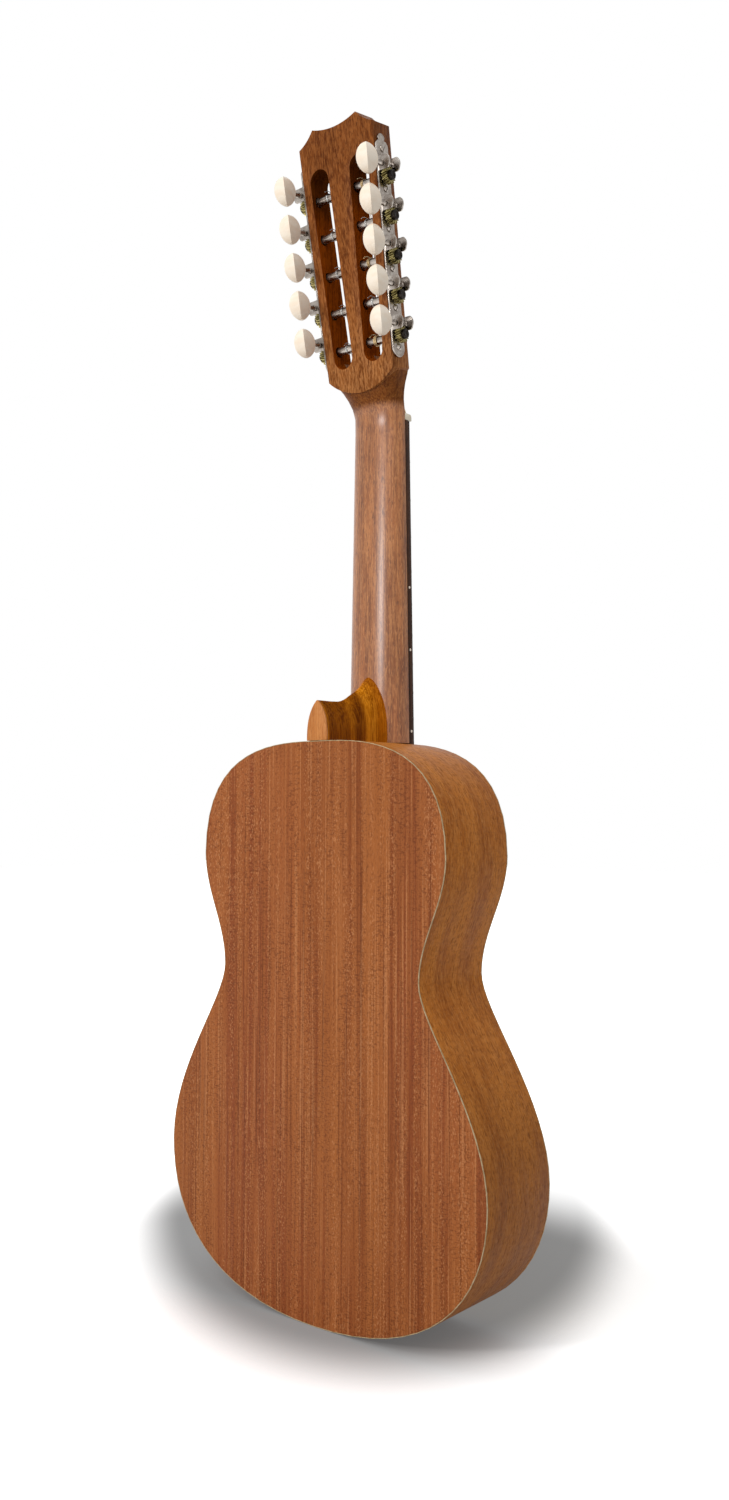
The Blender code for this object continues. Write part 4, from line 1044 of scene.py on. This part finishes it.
# Painted shade: the hub is near black, standing for the shade on the gear's end.
hub_painted_shade = clouded_metal("near-black hub painted shade", shade(20, 17, 15), shade(34, 30, 27), shade(66, 60, 54),
                           shade(10, 8, 7), 0.32, 0.55)
pearl = Finish("pearl", roughness=0.30, specular_ior_level=0.35)
swirl = bands(pearl, 0.0080, 0.0040, 0.30, 0.70, detail=3.0)
pearl.feed("Base Color", pearl.mix(swirl, shade(242, 224, 202), shade(246, 233, 215)))
print("finishes so far", len(bpy.data.materials))

# %% [markdown]
# ## Machine plates, ears and screws
# A long plate with a three-lobed crown end and a round foot is drawn with the pen. Two ears hold
# each worm. The screws are turned domes with a slot cut across.
# Plate, ears and screws could be one mesh. What repeats is made once here, and copied to its places.

# %% Plates
PLANK, PLANK_HALF = 1.4 * MM, 7.0 * MM
CROWN, FOOT_END = 30.5 * MM, -4 * ROLLER_PITCH - 15.5 * MM
LOBE, LOBE_DROP = 4.2 * MM, 9.0 * MM


def plank_skin():
    inner = PLANK_HALF - LOBE
    notch = (LOBE * math.cos(math.radians(18)), CROWN - LOBE + LOBE * math.sin(math.radians(18)))
    pen = Pen(PLANK_HALF, CROWN - LOBE_DROP)
    pen.arc(inner, CROWN - LOBE_DROP, 90, 8).line(*notch).arc(0, CROWN - LOBE, 144, 18)
    pen.line(-inner, CROWN - LOBE_DROP + LOBE).arc(-inner, CROWN - LOBE_DROP, 90, 8)
    pen.line(-PLANK_HALF, FOOT_END + PLANK_HALF).arc(0, FOOT_END + PLANK_HALF, 180, 20)
    return round_edges(from_the_side(pen.plate(0.3 * MM, 0.3 * MM + PLANK)), 0.35 * MM, 3)


def ear_skin(near):
    low, high = WORM_RISE - 4.4 * MM, WORM_RISE + 5.6 * MM
    reach, root = 11.2 * MM, 1.2 * MM
    pen = Pen(root, low - 1.0 * MM)
    pen.line(root + 0.6 * MM, low - 1.0 * MM).arc(root + 1.6 * MM, low - 1.0 * MM, -90, 5)
    pen.line(reach - 2.4 * MM, low).arc(reach - 2.4 * MM, low + 2.4 * MM, 90, 7)
    pen.arc(reach - 4.6 * MM, high - 4.6 * MM, 90, 12)
    pen.line(root + 1.6 * MM, high).arc(root + 1.6 * MM, high + 1.0 * MM, -90, 5).line(root, high + 1.0 * MM)
    skin = pen.plate(5.5 * MM, 6.7 * MM)
    if not near:
        for vert in skin.verts:
            vert.co.y *= -1
    return round_edges(skin, 0.25 * MM, 2)


def screw_skin():
    dome = ((1.2, 0.0), (1.2, 2.6), (1.9, 2.6), (2.35, 2.45), (2.85, 2.0), (3.2, 1.3), (3.4, 0.6),
            (3.45, 0.0))
    turn = Matrix.Rotation(0.5, 3, "X")
    slot = box(bmesh.new(), Vector((3.4, 0, 0)) * MM, Vector((1.6, 0.7, 7.0)) * MM, turn)
    return cut(lathe(dome, 24), slot)


def along_head(z):
    return Matrix.Translation((0, 0, z))


for side in ("bass", "treble"):
    first = machines[side, 1]
    solid("plate_" + side, set_up(plank_skin(), first), nickel, "aged_nickel", ("machine_plate_" + side,))
    spots = [first @ along_head(-i * ROLLER_PITCH) for i in range(5)]
    for near, name in ((True, "ears_near_"), (False, "ears_far_")):
        solid(name + side, many(ear_skin(near), spots), nickel, "aged_nickel")
    spots = [first @ along_head(19.8 * MM - i * ROLLER_PITCH) for i in range(6)]
    solid("screws_" + side, many(screw_skin(), spots), nickel, "aged_nickel")
print("plate length", round(CROWN - FOOT_END, 4))

# %% [markdown]
# ## Rollers and gears
# Each roller is turned, and plain where the string winds. One tooth's outline is drawn and spun
# into fourteen, filled, and extruded with the small twist that meets the worm. A near-black hub holds it; its
# dark colour is painted shade on the gear's end.
# A ready-made gear could be brought in, but the tooth count and the worm's lead have to agree.

# %% Rollers and gears
TEETH = 14
PITCH_RADIUS, TIP_RADIUS, ROOT_RADIUS = 5.3 * MM, 5.9 * MM, 4.5 * MM
LEAD = math.tau * PITCH_RADIUS / TEETH
GEAR_LOW, GEAR_HIGH = 3.0 * MM, 7.2 * MM


def roller_skin():
    return lathe(((-28.0, 0.0), (-28.0, 2.4), (-27.5, 2.95), (-26.0, 3.0), (-12.0, 3.0), (-2.0, 3.0),
                  (3.1, 3.0), (3.1, 0.0)), 28)


def gear_skin():
    skin = bmesh.new()
    tooth = math.tau / TEETH
    spots = []
    for radius, offset in ((ROOT_RADIUS, -0.335), (TIP_RADIUS - 0.25 * MM, -0.16), (TIP_RADIUS, -0.09),
                           (TIP_RADIUS, 0.09), (TIP_RADIUS - 0.25 * MM, 0.16), (ROOT_RADIUS, 0.335)):
        turn = math.pi / 2 + (offset + 0.5) * tooth
        spots.append(skin.verts.new((0, radius * math.cos(turn), radius * math.sin(turn))))
    chain = [skin.edges.new(pair) for pair in zip(spots, spots[1:])]
    bmesh.ops.spin(skin, geom=spots + chain, cent=(0, 0, 0), axis=(1, 0, 0), angle=math.tau, steps=TEETH,
                   use_duplicate=True)
    bmesh.ops.remove_doubles(skin, verts=skin.verts, dist=1e-6)
    ends = [vert for vert in skin.verts if len(vert.link_edges) == 1]
    ends.sort(key=lambda vert: math.atan2(vert.co.z, vert.co.y))
    loose = {vert: vert for vert in ends}
    for vert in ends:
        if vert not in loose:
            continue
        del loose[vert]
        other = min(loose, key=lambda far: (far.co - vert.co).length)
        del loose[other]
        skin.edges.new((vert, other))
    bmesh.ops.edgeloop_fill(skin, edges=skin.edges)
    slant = LEAD / (math.tau * (WORM_RISE - PITCH_RADIUS))

    def twist(x):
        return Matrix.Rotation(slant * (x - WORM_OUT) / PITCH_RADIUS, 4, "X") @ Matrix.Translation((x, 0, 0))

    grown = bmesh.ops.extrude_face_region(skin, geom=list(skin.faces))
    far = [part for part in grown["geom"] if isinstance(part, bmesh.types.BMVert)]
    near = [vert for vert in skin.verts if vert not in set(far)]
    bmesh.ops.transform(skin, matrix=twist(GEAR_LOW), verts=near)
    bmesh.ops.transform(skin, matrix=twist(GEAR_HIGH), verts=far)
    return skin


def hub_skin():
    return lathe(((7.0, 0.0), (7.0, 3.7), (8.6, 3.7), (9.2, 3.55), (9.6, 3.1), (9.7, 2.6), (9.2, 2.0),
                  (9.2, 0.0)), 28)


print("lead of the worm", round(LEAD, 5))

# %% [markdown]
# ## Worms and buttons
# The worm's thread is one small four-sided section, spun round the shaft and carried along it, three
# turns in all. A Screw modifier makes the same, but the operator needs no object of its own. The pearl
# button is a cube that is subdivided, swelled and drawn in to an almond whose four corners stay as
# ridges. A stretched sphere would have none.

# %% Worms and buttons
WORM_TURNS, WORM_STEPS = 3, 20


def worm_skin():
    y = WORM_TURNS / 2 * LEAD
    skin = bmesh.new()
    thread = [skin.verts.new((0, -y + along * MM, radius * MM))
              for along, radius in ((-0.62, 1.1), (-0.12, 2.7), (0.12, 2.7), (0.62, 1.1))]
    face = skin.faces.new(thread)
    bmesh.ops.spin(skin, geom=[face, *face.edges, *face.verts], cent=(0, 0, 0), axis=(0, 1, 0),
                   dvec=(0, LEAD / WORM_STEPS, 0), angle=math.tau * WORM_TURNS, steps=WORM_TURNS * WORM_STEPS)
    bmesh.ops.translate(skin, verts=skin.verts, vec=(WORM_OUT, 0, WORM_RISE))
    return skin


def shaft_skin():
    profile = ((-7.5, 0.0), (-7.5, 1.0), (-7.3, 1.25), (-5.1, 1.25), (-5.1, 2.1), (-4.6, 2.1), (-4.1, 1.3),
               (4.1, 1.3), (4.6, 2.1), (5.1, 2.1), (5.1, 1.25), (7.4, 1.25), (7.4, 2.1), (8.2, 2.3), (9.2, 2.1),
               (10.4, 1.7), (15.4, 1.6), (22.3, 1.6), (22.3, 0.0))
    skin = lathe(profile, 24, (0, 1, 0))
    bmesh.ops.translate(skin, verts=skin.verts, vec=(WORM_OUT, 0, WORM_RISE))
    return skin


BUTTON_HALF = Vector((5.1, 6.3, 11.0)) * MM
BUTTON_Y = (16.3 + 7.3) * MM


def button_skin():
    skin = bmesh.new()
    bmesh.ops.create_cube(skin, size=2.0)
    bmesh.ops.subdivide_edges(skin, edges=skin.edges[:], cuts=15, use_grid_fill=True)
    for vert in skin.verts:
        x, y, z = vert.co
        share = math.sin(z * math.pi / 2 * 0.90) * 0.992
        size = (1 - share * share) ** 0.56
        bulge_x, bulge_y = 1 + 0.04 * (1 - y * y), 1 + 0.04 * (1 - x * x)
        wide_x, wide_y = x * bulge_x * BUTTON_HALF.x * size, y * bulge_y * BUTTON_HALF.y * size
        vert.co = (wide_x, wide_y, share * BUTTON_HALF.z)
    bmesh.ops.translate(skin, verts=skin.verts, vec=(WORM_OUT, BUTTON_Y, WORM_RISE))
    return skin


for place, matrix in machines.items():
    label = "_%s_%d" % place
    post, tuner = "post" + label, "tuner" + label
    for name, skin, finish, slot, replaced, body, smooth in (
            ("string_roller", roller_skin(), nickel, "aged_nickel", ("roller" + label,), post, 40),
            ("gear", gear_skin(), brass, "aged_brass", (), post, 30),
            ("hub", hub_skin(), hub_painted_shade, "aged_nickel", (), post, 40),
            ("thread", worm_skin(), nickel, "aged_nickel", (), tuner, 35),
            ("shaft", shaft_skin(), nickel, "aged_nickel", ("worm" + label,), tuner, 40),
            ("pearl_button", button_skin(), pearl, "pearl", ("button" + label,), tuner, 32)):
        solid(name + label, set_up(skin, matrix), finish, slot, replaced, body, smooth)
print("machines built", len(machines))

# %% [markdown]
# ## Spruce, cedar, dark wood and bone
# The soundboard is spruce: straight, even growth lines about a millimetre apart, pale between and
# tan where they close up. The blocks are cedar. The fingerboard and bridge are a dark, oily wood.
# One wood in several colours could serve them all, but it is the spacing of the lines that differs.

# %% Finishes for the front and the inside
def ringed_wood(name, pale, tan, spacing, strength):
    finish = Finish(name, specular_ior_level=0.3)
    lines = bands(finish, spacing, 0.40, 0.42, 0.72, detail=1.0, seed=2.0)
    broad = bands(finish, 0.018, 0.50, 0.35, 0.65, seed=8.0)
    silk = bands(finish, 0.0040, 0.0014, 0.50, 0.75, detail=2.0, seed=4.0)
    lined = finish.mix(lines * strength, pale, tan)
    finish.feed("Base Color", layered(finish, lined, (broad * 0.25, tan), (silk * 0.15, pale)))
    finish.feed("Roughness", 0.42 + lines * 0.10)
    finish.bump(lines, 0.1, 0.0001)
    return finish


spruce = ringed_wood("soundboard spruce", shade(222, 186, 134), shade(188, 138, 84), 0.0011, 0.8)
brace_spruce = ringed_wood("brace spruce", shade(224, 196, 150), shade(194, 154, 104), 0.0016, 0.7)
cedar = ringed_wood("block cedar", shade(186, 134, 88), shade(150, 96, 58), 0.0018, 0.8)
rosewood = pored_wood("dark rosewood", shade(42, 22, 12), shade(62, 35, 20), shade(88, 54, 33),
                      shade(22, 11, 7), specular_ior_level=0.08)
bone = Finish("bone", specular_ior_level=0.4)
bone_cloud = bands(bone, 0.0040, 0.0080, 0.3, 0.7, detail=3.0)
bone_pore = bands(bone, 0.0004, 0.0015, 0.60, 0.70, detail=1.0, seed=3.0)
bone_tone = bone.mix(bone_cloud, shade(226, 214, 188), shade(238, 230, 210))
bone.feed("Base Color", bone.mix(bone_pore * 0.3, bone_tone, shade(188, 166, 128)))
bone.feed("Roughness", 0.30 + bone_cloud * 0.1)
fret_metal = clouded_metal("fret metal", shade(150, 146, 138), shade(178, 174, 166), shade(204, 200, 194),
                           shade(110, 100, 88), 0.14, 0.28)
plain_steel = clouded_metal("plain steel", shade(150, 148, 144), shade(176, 174, 170), shade(200, 198, 194),
                            shade(110, 104, 96), 0.18, 0.30)
wound_steel = Finish("wound steel", metallic=1.0)
turns = wound_steel.node("ShaderNodeTexWave", {"bands_direction": "Z"},
                         {"Vector": wound_steel.place(), "Scale": 900.0, "Distortion": 0.0})
tarnish = bands(wound_steel, 0.004, 0.020, 0.35, 0.65, detail=3.0)
wound_steel.feed("Base Color", wound_steel.mix(tarnish, shade(150, 126, 88), shade(184, 160, 120)))
wound_steel.feed("Roughness", 0.25 + tarnish * 0.15)
wound_steel.bump(turns, 0.4, 0.0001)
dress(cedar, "tail_block", "heel_block")
dress(brace_spruce, "top_brace_upper", "top_brace_lower", "back_brace")
dress(bone, "saddle")
dress(rosewood, "bridge")
print("dressed solids", 7)

# %% [markdown]
# ## Soundboard with two hearts
# The same outline as the back. A heart is two half circles over a point: the pen draws one lobe, the
# bow down to the point, and the way back up, and the solid made from it cuts the soundhole.
# The hole could be left in the outline. A cut comes first here, so that its edge is eased with the rest.

# %% Soundboard
HEART_X, HEART_Z = 42.0 * MM, 0.2320
HEART_HALF = 18.0 * MM


def heart_skin(side):
    lobe = HEART_HALF / 2
    dip = HEART_Z + 0.30 * HEART_HALF
    pen = Pen(side * HEART_X, dip)
    pen.arc(side * HEART_X - lobe, dip, 180, 24)
    pen.bow(side * HEART_X, HEART_Z - 1.17 * HEART_HALF, -0.22 * HEART_HALF, 16)
    pen.bow(side * HEART_X + 2 * lobe, dip, -0.22 * HEART_HALF, 16)
    pen.arc(side * HEART_X + lobe, dip, 180, 24)
    return pen.plate(FRONT - 2 * MM, FRONT + PLATE + 2 * MM)


board = thicken(outline_face(EDGING_WIDTH + HAIR), FRONT, FRONT + PLATE)
skin = cut(board, heart_skin(-1), heart_skin(1))
round_edges(skin, 0.3 * MM, 2, sharper=50.0)
solid("soundboard_plate", skin, spruce, "spruce", ("soundboard",))
print("hearts at", HEART_Z)

# %% [markdown]
# ## Linings and tenon
# Inside, a strip of cedar is glued round each corner between rib and plate. A real strip is sawn
# nearly through every few millimetres so that it bends. The neck's tenon sits in the heel block.
# A curve could be swept round. A second inset follows the outline by itself, and stops at the blocks.

# %% Linings and tenon
LINING_WIDTH, LINING_LIP = 6.3 * MM, 5.0 * MM
BLOCK_HALF = 32.5 * MM
TENON, TENON_MIDDLE = Vector((18.6, 44, 14.2)) * MM, (0, FRONT + 31 * MM, BODY_JOIN - 6.9 * MM)


def lining(name, surface, sign):
    skin = outline_face(WALL + HAIR)
    ring = inset_ring(skin, LINING_WIDTH)
    inner = [face for face in skin.faces if face not in ring]
    blocked = [face for face in ring if abs(face.calc_center_median().x) < BLOCK_HALF]
    bmesh.ops.delete(skin, geom=inner + blocked, context="FACES")
    thicken(skin, PLATE + HAIR, PLATE + HAIR + LINING_LIP)
    lay_on(skin, surface, sign)
    return solid(name, skin, cedar, "cedar")


lining("lining_back", back_y, -1)
lining("lining_front", front_y, 1)
tenon = round_edges(box(bmesh.new(), TENON_MIDDLE, TENON), 0.4 * MM)
solid("tenon", tenon, neck_wood, "neck_wood")
print("linings reach in", LINING_WIDTH)

# %% [markdown]
# ## Fingerboard and frets
# The board tapers from the body to the nut. Each fret is a round wire across it, half sunk, with its
# ends filed back at an angle. Where the fret's tang runs out, its end shows on the board's edge.
# A fret's profile could be extruded. A cylinder pressed flat on one side is the same with less drawing.

# %% Fingerboard and frets
SCALE, BOARD, GAP = 555.0 * MM, 5.6 * MM, 0.3 * MM
FACE = FRONT - GAP - BOARD
FRETS, FRET_HALF = 17, 1.1 * MM
DOTTED = (5, 7, 10, 12)


def fret_z(number):
    return NUT_Z - SCALE * (1 - 2 ** (-number / 12))


end_z, top_z = fret_z(FRETS + 0.45), NUT_Z - GAP
pen = Pen(neck_half(end_z), end_z)
pen.line(neck_half(top_z), top_z).line(-neck_half(top_z), top_z).line(-neck_half(end_z), end_z)
skin = round_edges(pen.plate(FACE, FRONT - GAP), 0.4 * MM, 2)
solid("fingerboard", skin, rosewood, "dark_wood", ("fretboard",))


def fret_skin(half, z):
    skin = bmesh.new()
    turn = Matrix.Translation((0, FACE, z)) @ Matrix.Rotation(math.pi / 2, 4, "Y")
    bmesh.ops.create_cone(skin, cap_ends=True, segments=16, radius1=FRET_HALF, radius2=FRET_HALF,
                          depth=2 * half, matrix=turn)
    for vert in skin.verts:
        high = max(0.0, FACE - vert.co.y)
        vert.co.y = FACE - high * 0.9 if high else FACE + (vert.co.y - FACE) * 0.3
        vert.co.x -= math.copysign(high * 0.6, vert.co.x)
    return box(skin, (0, FACE + 1.3 * MM, z), (2 * half + 0.06 * MM, 2.0 * MM, 0.6 * MM))


frets = bmesh.new()
for number in range(1, FRETS + 1):
    wire = fret_skin(neck_half(fret_z(number)) - 0.1 * MM, fret_z(number))
    frets.from_mesh(mesh_from("fret", wire))
solid("frets", frets, fret_metal, "string_steel")
dots = []
for number in DOTTED:
    z = (fret_z(number) + fret_z(number - 1)) / 2
    dots.append(Matrix.Translation((-neck_half(z), FACE + 3.0 * MM, z)))
dot = lathe(((-0.05, 0.0), (-0.05, 1.0), (1.0, 1.0), (1.0, 0.0)), 20)
solid("edge_dots", many(dot, dots), pearl, "pearl")
print("frets", FRETS)

# %% [markdown]
# ## Nut
# The strings lie in pairs, closer at the nut than at the bridge. The nut is rounded toward the head,
# and a notch is sawn for each string.
# A plain block would pass from behind, but the strings would then cut through it.

# %% Nut
DIAMETERS = [width * MM for width in (0.90, 0.50, 0.75, 0.45, 0.60, 0.45, 0.50, 0.50, 0.45, 0.45)]
NUT_DEEP, NUT_ROUND = 7.9 * MM, 1.9 * MM


def across(index, course_gap, pair_gap):
    return (index // 2 - 2) * course_gap + (index % 2 - 0.5) * pair_gap


def at_nut(index):
    return across(index, 8.6 * MM, 2.4 * MM)


def at_bridge(index):
    return across(index, 12.4 * MM, 3.0 * MM)


low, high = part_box("nut")
pen = Pen(high.y, low.z).line(low.y, low.z).line(low.y, high.z - NUT_ROUND)
skin = pen.arc(low.y + NUT_ROUND, high.z - NUT_ROUND, -90, 8).line(high.y, high.z).plate(low.x, high.x)
block = round_edges(from_the_side(skin), 0.4 * MM, 2)
saws = []
for index, width in enumerate(DIAMETERS):
    floor_y = FRONT - NUT_DEEP + width / 2
    saws.append(box(bmesh.new(), (at_nut(index), floor_y - 1 * MM, (low.z + high.z) / 2),
                    (width + 0.1 * MM, 2 * MM, 10 * MM)))
solid("nut_bone", cut(block, *saws), bone, "bone", ("nut",))
print("notches", len(saws))

# %% [markdown]
# ## Strings
# Each string is one bevelled curve: from the ball end behind the bridge, over the saddle and the nut,
# and then wound round its roller, where it leaves a short curled end. The winding is the helix of a
# few turns at the roller's radius. The low strings of the first pairs are wound, the others plain.
# A tube of faces could be lofted along the way. A curve needs only the route and a thickness.

# %% Strings
SADDLE_Z, SADDLE_DEEP = NUT_Z - SCALE, 12.5 * MM
TIE_BACK, TIE_FRONT, HOLE_DEEP = SADDLE_Z - 16.5 * MM, SADDLE_Z - 10.5 * MM, 5.0 * MM
TURNS, PER_TURN = 3, 20
ROLLER_RADIUS = 3.0 * MM
SLOT_MIDDLE = 14.5 * MM - 31.3 * MM     # the slot's middle, from the side of the head


def string_route(index):
    radius = DIAMETERS[index] / 2
    x_bridge, x_nut = at_bridge(index), at_nut(index)
    route = [Vector((x_bridge, FRONT - HOLE_DEEP, TIE_BACK)),
             Vector((x_bridge, FRONT - HOLE_DEEP, TIE_FRONT)),
             Vector((x_bridge, FRONT - SADDLE_DEEP + 0.1 * MM, SADDLE_Z - 1.8 * MM)),
             Vector((x_bridge, FRONT - SADDLE_DEEP, SADDLE_Z)),
             Vector((x_nut, FRONT - NUT_DEEP, NUT_Z + 0.5 * MM)),
             Vector((x_nut, FRONT - NUT_DEEP + 0.2 * MM, NUT_Z + 5.0 * MM))]
    place = ("bass", 5 - index) if index < 5 else ("treble", index - 4)
    matrix = machines[place]
    leaving = matrix.inverted() @ route[-1]
    coil = ROLLER_RADIUS + radius + HAIR
    first = math.atan2(-leaving.y, -leaving.z) - math.asin(coil / math.hypot(leaving.y, leaving.z))
    start = SLOT_MIDDLE + 1.5 * radius
    for step in range(TURNS * PER_TURN + 9):
        turn = first + math.tau * step / PER_TURN
        loose = max(0, step - TURNS * PER_TURN)
        reach = coil + 0.05 * MM * loose ** 2
        along = start - (2 * radius + 0.1 * MM) * step / PER_TURN
        route.append(matrix @ Vector((along, -reach * math.cos(turn), reach * math.sin(turn))))
    return route


for index in range(10):
    curve = bpy.data.curves.new("string", "CURVE")
    curve.dimensions = "3D"
    curve.bevel_depth = DIAMETERS[index] / 2
    curve.bevel_resolution = 3
    curve.use_fill_caps = True
    route = string_route(index)
    line = curve.splines.new("POLY")
    line.points.add(len(route) - 1)
    for spot, point in zip(line.points, route):
        spot.co = (*point, 1.0)
    finish = wound_steel if index in (0, 2, 4) else plain_steel
    curve.materials.append(finish.material)
    piece = in_scene("string_wire_%02d" % (index + 1), curve)
    declare(piece, "string_steel", ("string_%02d" % (index + 1),))
ball = lathe(((-1.5, 0.6), (-1.5, 1.5), (1.5, 1.5), (1.5, 0.6), (-1.5, 0.6)), 20)
spots = [Matrix.Translation((at_bridge(index), FRONT - HOLE_DEEP + 0.9 * MM, TIE_BACK - 1.6 * MM))
         for index in range(10)]
solid("ball_ends", many(ball, spots), brass, "aged_brass")
print("string turns", TURNS)

# %% [markdown]
# ## Closing

# %% Closing
print("end of the script")
